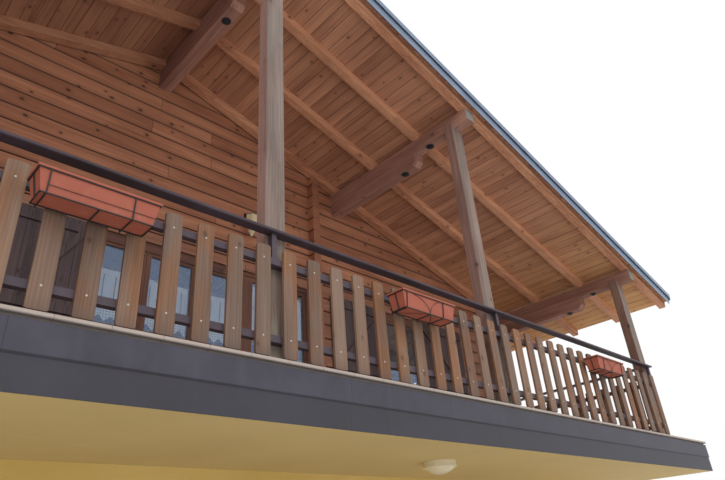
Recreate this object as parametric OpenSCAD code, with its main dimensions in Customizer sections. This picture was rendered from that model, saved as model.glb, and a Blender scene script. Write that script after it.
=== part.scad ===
// Alpine chalet: a rendered ground floor, a slab that carries a wide front balcony, and a log-built
// upper floor under one low gable roof. All lengths are millimetres and all angles degrees.
// X runs along the front, Y into the house and Z up. The origin lies on the ground, in the
// middle of the plan.

/* [Plan] */
// Number of rafter bays between the outer faces of the two gable walls
house_bays = 10; // [8:1:11]
// Distance between rafter centres
rafter_pitch = 830; // [780:5:850]
// Distance from the ridge to the middle purlins
mid_purlin_x = 2826; // [2700:1:2950]
// Distance from the ridge to the eave purlins and side walls
eave_purlin_x = 6720; // [6500:1:6900]
// Distance from the balcony's front edge to the front log wall
balcony_depth = 2495; // [2300:5:2600]
// Distance from the balcony's front edge to the ground floor's front wall
ground_setback = 1800; // [1500:10:2000]
// How far the slab reaches past the eave purlins at each side
slab_side_overhang = 1110; // [900:5:1150]

/* [Levels] */
// Height of the balcony floor above the ground
floor_level = 2900; // [2750:10:3100]
// Height of the slab's edge, from the balcony floor to the soffit
slab_edge_h = 410; // [380:5:450]
// Height of the rafters' underside at the ridge, above the balcony floor
ridge_height = 4481; // [4400:1:4600]
// Slope of the roof
roof_pitch = 16.4; // [15.5:0.1:17]

/* [Walls] */
// Thickness of the rendered ground floor walls
masonry_t = 300; // [240:10:365]
// Height of one log course
log_pitch = 190; // [170:5:210]
// Thickness of the log walls
log_t = 120; // [110:5:150]
// Depth of the groove between two courses
groove_depth = 12; // [8:1:16]
// How far log ends stand out past a crossing wall
log_end = 110; // [80:5:120]
// Distance from the ridge to the cross walls whose log ends show on the gables
cross_wall_x = 2355; // [2340:5:2450]

/* [Roof timbers] */
// Width of purlins and of the corbels under them
purlin_w = 156; // [140:2:170]
// Height of a purlin
purlin_h = 170; // [150:5:190]
// Height of a corbel
corbel_h = 185; // [160:5:200]
// How far the front corbels reach out of the gable wall
corbel_reach = 1685; // [1500:5:1800]
// Width of a rafter
rafter_w = 100; // [80:5:120]
// Depth of a rafter, square to the roof
rafter_d = 105; // [100:5:120]
// How deep a purlin is let into the rafters, at its middle
purlin_seat = 30; // [25:1:35]
// How deep the ridge purlin is let into the rafters
ridge_seat = 60; // [50:1:65]
// How far the roof reaches past the eave purlins
eave_overhang = 1190; // [1100:5:1300]

/* [Balcony] */
// Width of a post across the front
post_w = 186; // [176:2:200]
// Depth of a post
post_d = 130; // [120:2:150]
// Height of the handrail's top above the floor
handrail_h = 1020; // [960:5:1100]
// Distance between picket centres
picket_pitch = 234; // [220:1:250]
// Width of a picket
picket_w = 118; // [100:1:125]
// Length of a picket
picket_len = 830; // [780:5:850]
// Length of a flower box over its rim
planter_len = 700; // [600:5:720]

/* [Doors and windows] */
// Height of the window sills above the floor
sill_h = 930; // [850:5:950]
// Height of the window and door heads above the floor
head_h = 2010; // [1980:5:2050]
// Width of a plain two-leaf window
window_w = 1360; // [1200:10:1400]
// Width of the one-leaf windows on the balcony
leaf_window_w = 740; // [650:10:800]

/* [Hidden] */

// Roof rules: heights above a plan point, and plumb depths of layers laid along the slope
eps = 1;
slope = tan(roof_pitch);
plumb = 1 / cos(roof_pitch);
ridge_z = floor_level + ridge_height;
board_t = 25;
sheet_t = 60;
rafter_v = rafter_d * plumb;
board_v = board_t * plumb;
sheet_v = sheet_t * plumb;
boards_v0 = rafter_v;
sheet_v0 = boards_v0 + board_v;
sheet_top_v = sheet_v0 + sheet_v;
seam_h = 25;
seam_w = 20;
seam_pitch = 600;
seam_setback = 30;
eave_x = eave_purlin_x + eave_overhang;
function rafter_z(x) = ridge_z - abs(x) * slope;

// The roof's layers end square to the slope: the end of a layer at height v
function eave_end(v) = eave_x + (v - rafter_v) * sin(roof_pitch) * cos(roof_pitch);

// Lines along Y, first as distances from the balcony's front edge, then in the plan's own frame
rafter_gap = 25;
tail_gap = 10;
verge_out = 160;
barge_out = 95;
verge_rafter_line = -15;
wall_front_line = balcony_depth;
first_rafter_line = wall_front_line - rafter_gap - rafter_w / 2;
wall_back_line = wall_front_line + house_bays * rafter_pitch - 2 * rafter_gap - rafter_w;
last_rafter_line = wall_back_line + rafter_gap + rafter_w / 2 + rafter_pitch;
roof_back_line = last_rafter_line + verge_rafter_line + verge_out;
front_edge = -(roof_back_line - verge_out) / 2;
wall_front = front_edge + wall_front_line;
wall_back = front_edge + wall_back_line;
verge_front = front_edge - verge_out;
verge_back = front_edge + roof_back_line;
timber_front = front_edge + verge_rafter_line - rafter_w / 2;
timber_back = front_edge + last_rafter_line + rafter_w / 2;
house_mid = (wall_front + wall_back) / 2;

// Slab and its edge
tile_t = 25;
screed_t = 20;
screed_inset = 30;
tile_joint = 5;
slab_top = floor_level - tile_t - screed_t;
soffit_z = floor_level - slab_edge_h;
slab_x = eave_purlin_x + slab_side_overhang;
fascia_inset = 12;
fascia_step = 12;
fascia_t = 30;
fascia_fold = 170;

// Walls
wall_x = eave_purlin_x + log_t / 2;
first_course = 95;
groove_h = 24;
ground_front = front_edge + ground_setback;
ground_sill = 900;
ground_head = 2050;
ground_slab_t = 150;
front_door_w = 1000;

// Purlins: the height of each underside follows from the roof
ridge_purlin_z = ridge_z + ridge_seat - purlin_h;
mid_purlin_z = rafter_z(mid_purlin_x) + purlin_seat - purlin_h;
eave_purlin_z = rafter_z(eave_purlin_x) + purlin_seat - purlin_h;
corbel_nose = 60;
back_corbel_reach = 500;
eave_board_t = 25;
eave_board_drop = 100;

// Railing
picket_front = front_edge + 60;
picket_t = 22;
picket_r = 20;
picket_foot_r = 12;
picket_foot = 30;
first_picket_x = 6616;
rail_front = picket_front + picket_t;
rail_d = 50;
rail_h = 50;
lower_rail_z = floor_level + 140;
upper_rail_z = floor_level + 730;
rail_x = eave_purlin_x + 30;
handrail_front_y = picket_front - 5;
handrail_w = 95;
handrail_t = 25;
handrail_chamfer = 6;
post_front = front_edge + 150;
post_fork = 80;
post_chamfer = 8;
stub_w = 40;
stub_plate_w = 70;
stub_plate_t = 8;
bracket_w = 108;
post_xs = [-eave_purlin_x, -mid_purlin_x, 0, mid_purlin_x, eave_purlin_x];
end_stub_x = rail_x - picket_t - stub_plate_w / 2;
stub_xs = [-end_stub_x, -mid_purlin_x, -60, mid_purlin_x, end_stub_x];

// Flower boxes
planter_xs = [-4850, -1410, 1410, 4820];
planter_d = 190;
planter_h = 155;
planter_z = floor_level + 595;
planter_back = front_edge + 30;
planter_wall = 8;
planter_rim = 8;
planter_rim_h = 14;
planter_end_draft = 32;
planter_side_draft = 15;
soil_depth = 25;
wire_t = 7;
hanger_hook = 25;
hanger_spread = 188;

// Openings of the front log wall
centre_window_x0 = -550;
balcony_door_x0 = 1220;
balcony_door_x1 = 2280;
side_window_x = 4050;
frame_d = 70;
frame_inset = 25;
frame_side = 70;
frame_head = 150;
frame_foot = 80;
mullion = 80;
sash_w = 40;
sash_setback = 12;
cover_strip_w = 26;
cover_strip_t = 6;
sill_board_t = 25;
sill_board_out = 45;
sill_ear = 15;
lintel_h = 353;
side_head_z = eave_purlin_z - lintel_h;
glass_t = 20;
shutter_t = 30;
batten_t = 22;
batten_h = 90;
shutter_w = 730;
side_shutter_w = 1030;
shutter_gap = 20;
window_y_offset = 2050;
ground_frame_inset = 110;

// Lamps
lamp_x = 2470;
lamp_setback = 820;
lamp_r = 160;
lamp_base_h = 55;
lamp_rim_r = 166;
lamp_rim_h = 10;
lamp_dome_r = 150;
lamp_dome_h = 60;
lantern_x = 1260;
lantern_z = 2720;
lantern_arm = 130;
lantern_top_r = 82;
lantern_mid_r = 65;
lantern_tip_r = 12;
lantern_body_h = 170;
lantern_foot_h = 120;
lantern_plate_z = 8;
lantern_cap_r = 92;
lantern_cap_h = 16;

logs_brown = "#7a4a2e";
post_grey = "#8c7a68";
purlin_brown = "#5a3426";
render_yellow = "#c9a24a";
anthracite = "#4a4a52";
flashing_blue = "#7a8ea6";
rail_violet = "#463741";
terracotta = "#be5f4b";
dark_wood = "#3a2a26";
iron_black = "#242426";

// Helper: a plan polygon in X and Z, drawn out along Y from y_a to y_b
module along_y(y_a, y_b) {
    translate([0, y_b, 0]) rotate([90, 0, 0]) linear_extrude(y_b - y_a) children();
}

// Helper: a section in Y and Z, drawn out along X from x_a to x_b
module along_x(x_a, x_b) {
    translate([x_a, 0, 0]) rotate([90, 0, 90]) linear_extrude(x_b - x_a) children();
}

// Helper: a box between two corners
module block(a, b) {
    translate(a) cube(b - a);
}

// Helper: the same thing on both sides of the ridge
module both_sides() {
    children();
    mirror([1, 0, 0]) children();
}

// Helper: a rectangle with its lower left corner at 0, 0 and its four corners cut off
module chamfered(w, h, cut) {
    polygon([
        [cut, 0], [w - cut, 0], [w, cut], [w, h - cut],
        [w - cut, h], [cut, h], [0, h - cut], [0, cut]
    ]);
}

// Section of a layer of the right-hand roof slope, from the ridge to its square end at the eave
module roof_section(v_low, v_high, short = 0) {
    low_x = eave_end(v_low) - short;
    high_x = eave_end(v_high) - short;
    polygon([
        [0, ridge_z + v_low], [low_x, rafter_z(low_x) + v_low],
        [high_x, rafter_z(high_x) + v_high], [0, ridge_z + v_high]
    ]);
}

// Section of a layer that lies along the right-hand slope, from x_a to x_b
module slope_section(x_a, x_b, v_low, v_high) {
    polygon([
        [x_a, rafter_z(x_a) + v_low], [x_b, rafter_z(x_b) + v_low],
        [x_b, rafter_z(x_b) + v_high], [x_a, rafter_z(x_a) + v_high]
    ]);
}

// Section of a log wall: courses with a V groove at each joint, on both faces
function groove_zs(z_a, z_b) =
    [for (z = [z_a + first_course : log_pitch : z_b - groove_h]) z];
function log_outline(z_a, z_b, face_a, face_b) = concat(
    [[face_a, z_a], [face_b, z_a]],
    [for (z = groove_zs(z_a, z_b), k = [-1, 0, 1])
        [face_b - (k == 0 ? groove_depth : 0), z + k * groove_h / 2]],
    [[face_b, z_b], [face_a, z_b]],
    [let (zs = groove_zs(z_a, z_b)) for (i = [len(zs) - 1 : -1 : 0], k = [1, 0, -1])
        [face_a + (k == 0 ? groove_depth : 0), zs[i] + k * groove_h / 2]]
);

// The outline under the roof boards, which the gable logs are cut to
module gable_outline(half_w) {
    polygon([
        [-half_w, slab_top], [half_w, slab_top], [half_w, rafter_z(half_w) + boards_v0],
        [0, ridge_z + boards_v0], [-half_w, rafter_z(half_w) + boards_v0]
    ]);
}

// A window seen from outside, with its lower left corner at 0, 0: the outline of the frame with
// its closed leaves, and that of the panes
function pane_w(w, leaves, side) = (w - 2 * side - (leaves - 1) * mullion) / leaves;
module frame_outline(w, h, leaves, head, foot, side) {
    difference() {
        square([w, h]);
        for (i = [0 : leaves - 1])
            translate([side + i * (pane_w(w, leaves, side) + mullion), foot])
                square([pane_w(w, leaves, side), h - head - foot]);
    }
}
module pane_outline(w, h, leaves, head, foot, side) {
    for (i = [0 : leaves - 1])
        translate([side + i * (pane_w(w, leaves, side) + mullion), foot])
            square([pane_w(w, leaves, side), h - head - foot]);
}

// The built window: an outer frame, leaves that stand back in it, and a strip over each meeting
module window_unit(w, h, leaves, head, foot, side) {
    rebate_h = h - head - foot + 2 * sash_w;
    linear_extrude(frame_d) difference() {
        square([w, h]);
        translate([side - sash_w, foot - sash_w]) square([w - 2 * (side - sash_w), rebate_h]);
    }
    translate([0, 0, sash_setback]) linear_extrude(frame_d - sash_setback)
        frame_outline(w, h, leaves, head, foot, side);
    for (i = [1 : 1 : leaves - 1])
        translate([side + i * (pane_w(w, leaves, side) + mullion) - (mullion + cover_strip_w) / 2,
            foot - sash_w, sash_setback - cover_strip_t])
            linear_extrude(cover_strip_t + eps) square([cover_strip_w, rebate_h]);
}

// The board under a window: it lies in the opening, and its nose stands out before the wall
module sill_board(w, inset, ear) {
    translate([0, 0, -inset - eps]) cube([w, sill_board_t, inset + eps + eps]);
    translate([-ear, 0, -inset - sill_board_out]) cube([w + 2 * ear, sill_board_t, sill_board_out]);
}

// Centres of the plain windows along each wall
upper_side_ys = [house_mid - window_y_offset, house_mid + window_y_offset];
upper_back_xs = [-side_window_x, 0, side_window_x];
ground_front_xs = [-side_window_x, -1900, 1900, side_window_x];

// Stands a drawing on a wall: its X runs along the wall, its Y up, its depth into the wall
module on_front(x, y, z) {
    translate([x, y, z]) rotate([90, 0, 0]) mirror([0, 0, 1]) children();
}
module on_back(x, y, z) {
    translate([x, y, z]) rotate([90, 0, 180]) mirror([0, 0, 1]) children();
}
module on_left(x, y, z) {
    translate([x, y, z]) rotate([90, 0, -90]) mirror([0, 0, 1]) children();
}
module on_right(x, y, z) {
    translate([x, y, z]) rotate([90, 0, 90]) mirror([0, 0, 1]) children();
}

module ground_slab() {
    color("#8a867e")
        block([-wall_x + masonry_t, ground_front + masonry_t, 0],
            [wall_x - masonry_t, wall_back - masonry_t, ground_slab_t]);
}

// Ground floor walls, with the openings of the windows and the front door cut through
module window_holes_x(xs, w, y_a, y_b, sill, head) {
    for (x = xs)
        block([x - w / 2, y_a - eps, sill], [x + w / 2, y_b + eps, head]);
}
module window_holes_y(x_a, x_b, sill, head) {
    for (y = upper_side_ys)
        block([x_a - eps, y - window_w / 2, sill], [x_b + eps, y + window_w / 2, head]);
}

module ground_wall_front() {
    color(render_yellow) difference() {
        block([-wall_x, ground_front, 0], [wall_x, ground_front + masonry_t, soffit_z]);
        window_holes_x(ground_front_xs, window_w, ground_front, ground_front + masonry_t,
            ground_sill, ground_head);
        block([-front_door_w / 2, ground_front - eps, -eps],
            [front_door_w / 2, ground_front + masonry_t + eps, ground_head]);
    }
}

module ground_wall_back() {
    color(render_yellow) difference() {
        block([-wall_x, wall_back - masonry_t, 0], [wall_x, wall_back, soffit_z]);
        window_holes_x(upper_back_xs, window_w, wall_back - masonry_t, wall_back,
            ground_sill, ground_head);
    }
}

module ground_wall_right() {
    color(render_yellow) difference() {
        block([wall_x - masonry_t, ground_front + masonry_t, 0],
            [wall_x, wall_back - masonry_t, soffit_z]);
        window_holes_y(wall_x - masonry_t, wall_x, ground_sill, ground_head);
    }
}

module ground_wall_left() {
    mirror([1, 0, 0]) ground_wall_right();
}

module front_windows(xs, w, y, z) {
    for (x = xs)
        on_front(x - w / 2, y, z) children();
}

module back_windows(z, inset) {
    for (x = upper_back_xs)
        on_back(x + window_w / 2, wall_back - inset, z) children();
}

module side_windows(z, inset) {
    for (y = upper_side_ys) {
        on_left(-wall_x + inset, y + window_w / 2, z) children();
        on_right(wall_x - inset, y - window_w / 2, z) children();
    }
}

module ground_window() {
    window_unit(window_w, ground_head - ground_sill, 2, frame_side, frame_foot, frame_side);
    sill_board(window_w, ground_frame_inset, sill_ear);
}

module ground_windows() {
    color(logs_brown) {
        front_windows(ground_front_xs, window_w, ground_front + ground_frame_inset, ground_sill)
            ground_window();
        back_windows(ground_sill, ground_frame_inset) ground_window();
        side_windows(ground_sill, ground_frame_inset) ground_window();
    }
}

// Front door: a frame round a closed leaf, with a threshold
module front_door() {
    leaf_w = front_door_w - 2 * frame_side;
    color(dark_wood) on_front(-front_door_w / 2, ground_front + ground_frame_inset, 0) {
        linear_extrude(frame_d) difference() {
            square([front_door_w, ground_head]);
            translate([frame_side, frame_foot])
                square([leaf_w, ground_head - frame_side - frame_foot]);
        }
        translate([frame_side, frame_foot, glass_t])
            linear_extrude(glass_t + glass_t) square([leaf_w, ground_head - frame_side - frame_foot]);
    }
}

module upper_slab() {
    color("#8f8b84")
        block([-slab_x + fascia_t, front_edge + fascia_t, soffit_z],
            [slab_x - fascia_t, wall_back - fascia_t, slab_top]);
}

// Floor finish: tiles on a screed that stands back from their edge. Both lie on the balcony, along
// the two sides, and in the upper room
module floor_plan(inset) {
    translate([-slab_x + inset, front_edge + inset])
        square([2 * (slab_x - inset), balcony_depth - inset]);
    both_sides() difference() {
        translate([wall_x, wall_front + tile_joint])
            square([slab_x - inset - wall_x, wall_back - wall_front - tile_joint]);
        for (y = [wall_front - eps, wall_back - log_t - eps])
            translate([wall_x - eps, y]) square([log_end + eps, log_t + eps]);
    }
    translate([-wall_x + log_t, wall_front + log_t])
        square([2 * (wall_x - log_t), wall_back - wall_front - 2 * log_t]);
}

module floor_finish() {
    color("#c4ae8d") {
        translate([0, 0, slab_top + screed_t]) linear_extrude(tile_t) floor_plan(0);
        translate([0, 0, slab_top]) linear_extrude(screed_t) floor_plan(screed_inset);
    }
}

// Sheet fascia round the slab: an upper face, a drip fold, and a lower face set back
module fascia_outline() {
    polygon([
        [fascia_inset, slab_top], [fascia_inset, slab_top - fascia_fold],
        [fascia_inset + fascia_step, slab_top - fascia_fold - fascia_step],
        [fascia_inset + fascia_step, soffit_z], [fascia_t, soffit_z], [fascia_t, slab_top]
    ]);
}

module fascia_front() {
    color(anthracite) translate([0, front_edge, 0])
        along_x(-slab_x + fascia_inset, slab_x - fascia_inset) fascia_outline();
}

module fascia_sides() {
    color(anthracite) both_sides()
        along_y(front_edge + fascia_t, wall_back - fascia_t)
            translate([slab_x, 0]) mirror([1, 0]) fascia_outline();
}

module fascia_back() {
    color(anthracite) translate([0, wall_back, 0]) mirror([0, 1, 0])
        along_x(-slab_x + fascia_inset, slab_x - fascia_inset) fascia_outline();
}

// Purlins, and the shorter corbels that double them where they leave the gable walls
module purlin(x, z) {
    block([x - purlin_w / 2, timber_front, z], [x + purlin_w / 2, timber_back, z + purlin_h]);
}

module purlins() {
    color(purlin_brown) {
        purlin(0, ridge_purlin_z);
        both_sides() {
            purlin(mid_purlin_x, mid_purlin_z);
            purlin(eave_purlin_x, eave_purlin_z);
        }
    }
}

module corbel_outline(reach) {
    polygon([
        [-reach, 0], [-reach, -corbel_h + corbel_nose], [-reach + corbel_nose, -corbel_h],
        [log_t, -corbel_h], [log_t, 0]
    ]);
}

module corbel_pair(x, z) {
    translate([0, wall_front, z])
        along_x(x - purlin_w / 2, x + purlin_w / 2) corbel_outline(corbel_reach);
    translate([0, wall_back, z]) mirror([0, 1, 0])
        along_x(x - purlin_w / 2, x + purlin_w / 2) corbel_outline(back_corbel_reach);
}

module purlin_corbels() {
    color(purlin_brown) {
        corbel_pair(0, ridge_purlin_z);
        both_sides() {
            corbel_pair(mid_purlin_x, mid_purlin_z);
            corbel_pair(eave_purlin_x, eave_purlin_z);
        }
    }
}

// Log walls
module gable_wall(y_a, y_b) {
    intersection() {
        along_x(-wall_x - log_end, wall_x + log_end)
            polygon(log_outline(slab_top, ridge_z + boards_v0, y_a, y_b));
        along_y(y_a - eps, y_b + eps) gable_outline(wall_x + log_end);
    }
}

module log_wall_front() {
    y_a = wall_front;
    y_b = wall_front + log_t;
    sill = floor_level + sill_h;
    head = floor_level + head_h;
    color(logs_brown) difference() {
        gable_wall(y_a, y_b);
        block([centre_window_x0, y_a - eps, sill], [balcony_door_x0 + eps, y_b + eps, head]);
        block([balcony_door_x0, y_a - eps, floor_level], [balcony_door_x1, y_b + eps, head]);
        window_holes_x([-side_window_x, side_window_x], leaf_window_w, y_a, y_b, sill, head);
        purlins();
        purlin_corbels();
    }
}

module log_wall_back() {
    y_a = wall_back - log_t;
    y_b = wall_back;
    color(logs_brown) difference() {
        gable_wall(y_a, y_b);
        window_holes_x(upper_back_xs, window_w, y_a, y_b,
            floor_level + sill_h, floor_level + head_h);
        purlins();
        purlin_corbels();
    }
}

module log_wall_right() {
    color(logs_brown) difference() {
        along_y(wall_front + log_t, wall_back - log_t)
            polygon(log_outline(slab_top, eave_purlin_z, wall_x - log_t, wall_x));
        window_holes_y(wall_x - log_t, wall_x, floor_level + sill_h, side_head_z);
    }
}

module log_wall_left() {
    mirror([1, 0, 0]) log_wall_right();
}

// Stacks of log ends that stand out of the gables where side walls and cross walls meet them
module log_end_stack(x, z_top) {
    z_a = floor_level;
    outline = log_outline(slab_top, z_top, x - log_t / 2, x + log_t / 2);
    intersection() {
        polygon(outline);
        translate([x - log_t, z_a]) square([2 * log_t, z_top - z_a]);
    }
}

module log_ends() {
    corner_top = eave_purlin_z - corbel_h;
    cross_top = rafter_z(cross_wall_x + log_t / 2);
    color(logs_brown) both_sides() {
        along_y(wall_front - log_end, wall_front) {
            log_end_stack(cross_wall_x, cross_top);
            log_end_stack(eave_purlin_x, corner_top);
        }
        along_y(wall_back, wall_back + log_end) {
            log_end_stack(cross_wall_x, cross_top);
            log_end_stack(eave_purlin_x, corner_top);
        }
    }
}

// Rafters: one notched outline per slope, repeated along the house
rafter_lines = concat(
    [verge_rafter_line],
    [for (i = [-2 : house_bays]) first_rafter_line + i * rafter_pitch],
    [last_rafter_line]
);

module rafter_outline() {
    difference() {
        roof_section(0, rafter_v, tail_gap);
        translate([0, ridge_purlin_z]) square([purlin_w / 2, purlin_h]);
        for (p = [[mid_purlin_x, mid_purlin_z], [eave_purlin_x, eave_purlin_z]])
            translate([p[0] - purlin_w / 2, p[1]]) square([purlin_w, purlin_h]);
    }
}

module rafters_right() {
    color(logs_brown) for (line = rafter_lines)
        along_y(front_edge + line - rafter_w / 2, front_edge + line + rafter_w / 2)
            rafter_outline();
}

module rafters_left() {
    mirror([1, 0, 0]) rafters_right();
}

// Boards that close the gap over each side wall, notched round the rafters
module eave_boards() {
    color(logs_brown) both_sides() difference() {
        along_y(wall_front + log_t, wall_back - log_t)
            slope_section(eave_purlin_x + purlin_w / 2, eave_purlin_x + purlin_w / 2 + eave_board_t,
                -eave_board_drop, boards_v0);
        for (line = rafter_lines)
            along_y(front_edge + line - rafter_w / 2, front_edge + line + rafter_w / 2)
                slope_section(0, eave_x, 0, rafter_v + eps);
    }
}

module roof_boards_right() {
    color(logs_brown) along_y(front_edge - barge_out, verge_back - verge_out + barge_out)
        roof_section(boards_v0, sheet_v0);
}

module roof_boards_left() {
    mirror([1, 0, 0]) roof_boards_right();
}

// Roof covering: battens and sheet as one layer, with standing seams that stop short of the eave
seam_count = floor((roof_back_line + barge_out) / seam_pitch);
module roof_sheet_right() {
    color(anthracite) {
        along_y(front_edge - barge_out, verge_back - verge_out + barge_out)
            roof_section(sheet_v0, sheet_top_v);
        for (i = [1 : seam_count - 1])
            along_y(front_edge + i * seam_pitch - seam_w, front_edge + i * seam_pitch)
                roof_section(sheet_top_v - eps, sheet_top_v + seam_h, seam_setback);
    }
}

module roof_sheet_left() {
    mirror([1, 0, 0]) roof_sheet_right();
}

// Verge flashing: a bar that laps onto the roof sheet, a plate that reaches out from it, and two
// thin legs that hang from the plate, the inner one longer
flashing_low = 43;
flashing_mid = 160;
flashing_top = sheet_top_v + seam_h + 12;
flashing_plate_t = 8;
flashing_leg_t = 5;
flashing_step = 25;
flashing_lap = 110;

module verge_flashing() {
    along_y(verge_front, verge_front + flashing_leg_t) roof_section(flashing_mid, flashing_top);
    along_y(verge_front + flashing_step, verge_front + flashing_step + flashing_leg_t)
        roof_section(flashing_low, flashing_top);
    along_y(verge_front, front_edge - barge_out)
        roof_section(flashing_top - flashing_plate_t, flashing_top);
    along_y(front_edge - barge_out - eps, front_edge - barge_out + flashing_lap)
        roof_section(sheet_top_v, flashing_top);
}

module verge_flashings_right() {
    color(flashing_blue) {
        verge_flashing();
        translate([0, verge_front + verge_back, 0]) mirror([0, 1, 0]) verge_flashing();
    }
}

module verge_flashings_left() {
    mirror([1, 0, 0]) verge_flashings_right();
}

// Eave flashing: a strip over the ends of the boards and the sheet, square to the slope, which
// rises at both verges to close the ends of the verge flashings
eave_strip_t = 12;
module eave_strip(v_low, v_high) {
    low_x = eave_end(v_low);
    high_x = eave_end(v_high);
    polygon([
        [low_x, rafter_z(low_x) + v_low],
        [low_x + eave_strip_t, rafter_z(low_x + eave_strip_t) + v_low],
        [high_x + eave_strip_t, rafter_z(high_x + eave_strip_t) + v_high],
        [high_x, rafter_z(high_x) + v_high]
    ]);
}

module eave_flashings() {
    verge_w = verge_out - barge_out + flashing_lap;
    color(flashing_blue) both_sides() {
        along_y(verge_front, verge_back) eave_strip(boards_v0 + eave_strip_t, sheet_top_v);
        for (y = [verge_front, verge_back - verge_w])
            along_y(y, y + verge_w) eave_strip(sheet_top_v - eps, flashing_top);
    }
}

module ridge_cap() {
    cap_w = 260;
    cap_t = 10;
    color(flashing_blue) both_sides()
        along_y(front_edge - barge_out + flashing_lap, verge_back - verge_out + barge_out - flashing_lap)
            slope_section(0, cap_w, sheet_top_v + seam_h, sheet_top_v + seam_h + cap_t);
}

// Posts: square timbers whose forked heads hold the purlins between two cheeks
module balcony_posts() {
    heads = [eave_purlin_z, mid_purlin_z, ridge_purlin_z, mid_purlin_z, eave_purlin_z];
    color(post_grey) for (i = [0 : len(post_xs) - 1])
        difference() {
            translate([post_xs[i] - post_w / 2, post_front, floor_level])
                linear_extrude(heads[i] + post_fork - floor_level)
                    chamfered(post_w, post_d, post_chamfer);
            block([post_xs[i] - purlin_w / 2, post_front - eps, heads[i]],
                [post_xs[i] + purlin_w / 2, post_front + post_d + eps, heads[i] + purlin_h]);
        }
}

// Handrails: one across the front, and one to each side from the corner post to the log ends
side_rail_y0 = post_front + post_d;
side_rail_y1 = wall_front - log_end;
handrail_z = floor_level + handrail_h - handrail_t;
module handrails() {
    color(rail_violet) {
        along_x(-rail_x, rail_x) translate([handrail_front_y, handrail_z])
            chamfered(handrail_w, handrail_t, handrail_chamfer);
        both_sides()
            along_y(side_rail_y0, side_rail_y1) translate([rail_x - handrail_w, handrail_z])
                chamfered(handrail_w, handrail_t, handrail_chamfer);
    }
}

// Steel rails behind the pickets, the stubs that carry the handrail, each on a foot plate, and
// the brackets at the posts
module stub() {
    z = upper_rail_z + rail_h;
    block([-stub_w / 2, -stub_w / 2, z - eps], [stub_w / 2, stub_w / 2, handrail_z]);
    block([-stub_plate_w / 2, -stub_w / 2, z - eps],
        [stub_plate_w / 2, stub_w / 2, z + stub_plate_t]);
}

module rail_frames() {
    frame_x = rail_x - picket_t;
    rail_zs = [lower_rail_z, upper_rail_z];
    color(rail_violet) {
        for (z = rail_zs)
            block([-frame_x, rail_front, z], [frame_x, rail_front + rail_d, z + rail_h]);
        for (x = stub_xs)
            translate([x, rail_front + rail_d / 2, 0]) stub();
        for (x = post_xs, z = rail_zs)
            block([x - bracket_w / 2, rail_front + rail_d - eps, z],
                [x + bracket_w / 2, post_front, z + rail_h]);
        both_sides() {
            for (z = rail_zs)
                block([frame_x - rail_d, side_rail_y0, z], [frame_x, side_rail_y1, z + rail_h]);
            translate([frame_x - rail_d / 2, (side_rail_y0 + side_rail_y1) / 2, 0])
                rotate([0, 0, 90]) stub();
        }
    }
}

// Pickets: flat boards with rounded corners, tighter at the foot
function corner_arc(cx, cy, r, start) =
    [for (a = [0 : 30 : 90]) [cx + r * cos(start + a), cy + r * sin(start + a)]];
function picket_points(w, h, r, foot_r) = concat(
    corner_arc(w / 2 - r, h - r, r, 0), corner_arc(-w / 2 + r, h - r, r, 90),
    corner_arc(-w / 2 + foot_r, foot_r, foot_r, 180), corner_arc(w / 2 - foot_r, foot_r, foot_r, 270)
);
picket_count = floor((first_picket_x + rail_x - picket_w) / picket_pitch) + 1;
side_picket_run = side_rail_y1 - side_rail_y0 - 2 * picket_w;
side_picket_count = round(side_picket_run / picket_pitch) + 1;

module picket() {
    polygon(picket_points(picket_w, picket_len, picket_r, picket_foot_r));
}

module pickets_front() {
    color(post_grey) for (i = [0 : picket_count - 1])
        along_y(picket_front, rail_front)
            translate([first_picket_x - i * picket_pitch, floor_level + picket_foot]) picket();
}

module pickets_right() {
    step = side_picket_run / (side_picket_count - 1);
    color(post_grey) for (i = [0 : side_picket_count - 1])
        along_x(rail_x - picket_t, rail_x)
            translate([side_rail_y0 + picket_w + i * step, floor_level + picket_foot]) picket();
}

module pickets_left() {
    mirror([1, 0, 0]) pickets_right();
}

// Flower boxes: open tubs with a rim, whose sides and ends lean in towards the foot. Places are
// given from the back of the rim
function lean_in(draft, z) = draft * (planter_h - z) / planter_h;
function planter_front(z) = -planter_d + planter_rim + lean_in(planter_side_draft, z);
function planter_rear(z) = -planter_rim - lean_in(planter_side_draft, z);
function planter_half(z) = planter_len / 2 - planter_rim - lean_in(planter_end_draft, z);

module tub_form(inset, z_a, z_b) {
    intersection() {
        along_x(-planter_len / 2, planter_len / 2)
            polygon([
                [planter_front(z_a) + inset, z_a], [planter_rear(z_a) - inset, z_a],
                [planter_rear(z_b) - inset, z_b], [planter_front(z_b) + inset, z_b]
            ]);
        along_y(-planter_d, 0)
            polygon([
                [-planter_half(z_a) + inset, z_a], [planter_half(z_a) - inset, z_a],
                [planter_half(z_b) - inset, z_b], [-planter_half(z_b) + inset, z_b]
            ]);
    }
}

module planters() {
    color(terracotta) for (x = planter_xs)
        translate([x, planter_back, planter_z]) difference() {
            union() {
                tub_form(0, 0, planter_h);
                block([-planter_len / 2, -planter_d, planter_h - planter_rim_h],
                    [planter_len / 2, 0, planter_h]);
            }
            tub_form(planter_wall, planter_wall, planter_h + eps);
        }
}

module planter_soil() {
    color("#3b2f28") for (x = planter_xs)
        translate([x, planter_back, planter_z])
            tub_form(planter_wall, planter_wall, planter_h - soil_depth);
}

// Hangers: a wire cage round each box, with two bars that hook over the upper rail between pickets
function nearest_gap(x) = first_picket_x
    - picket_pitch * (round((first_picket_x - x) / picket_pitch - 0.5) + 0.5);

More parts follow.
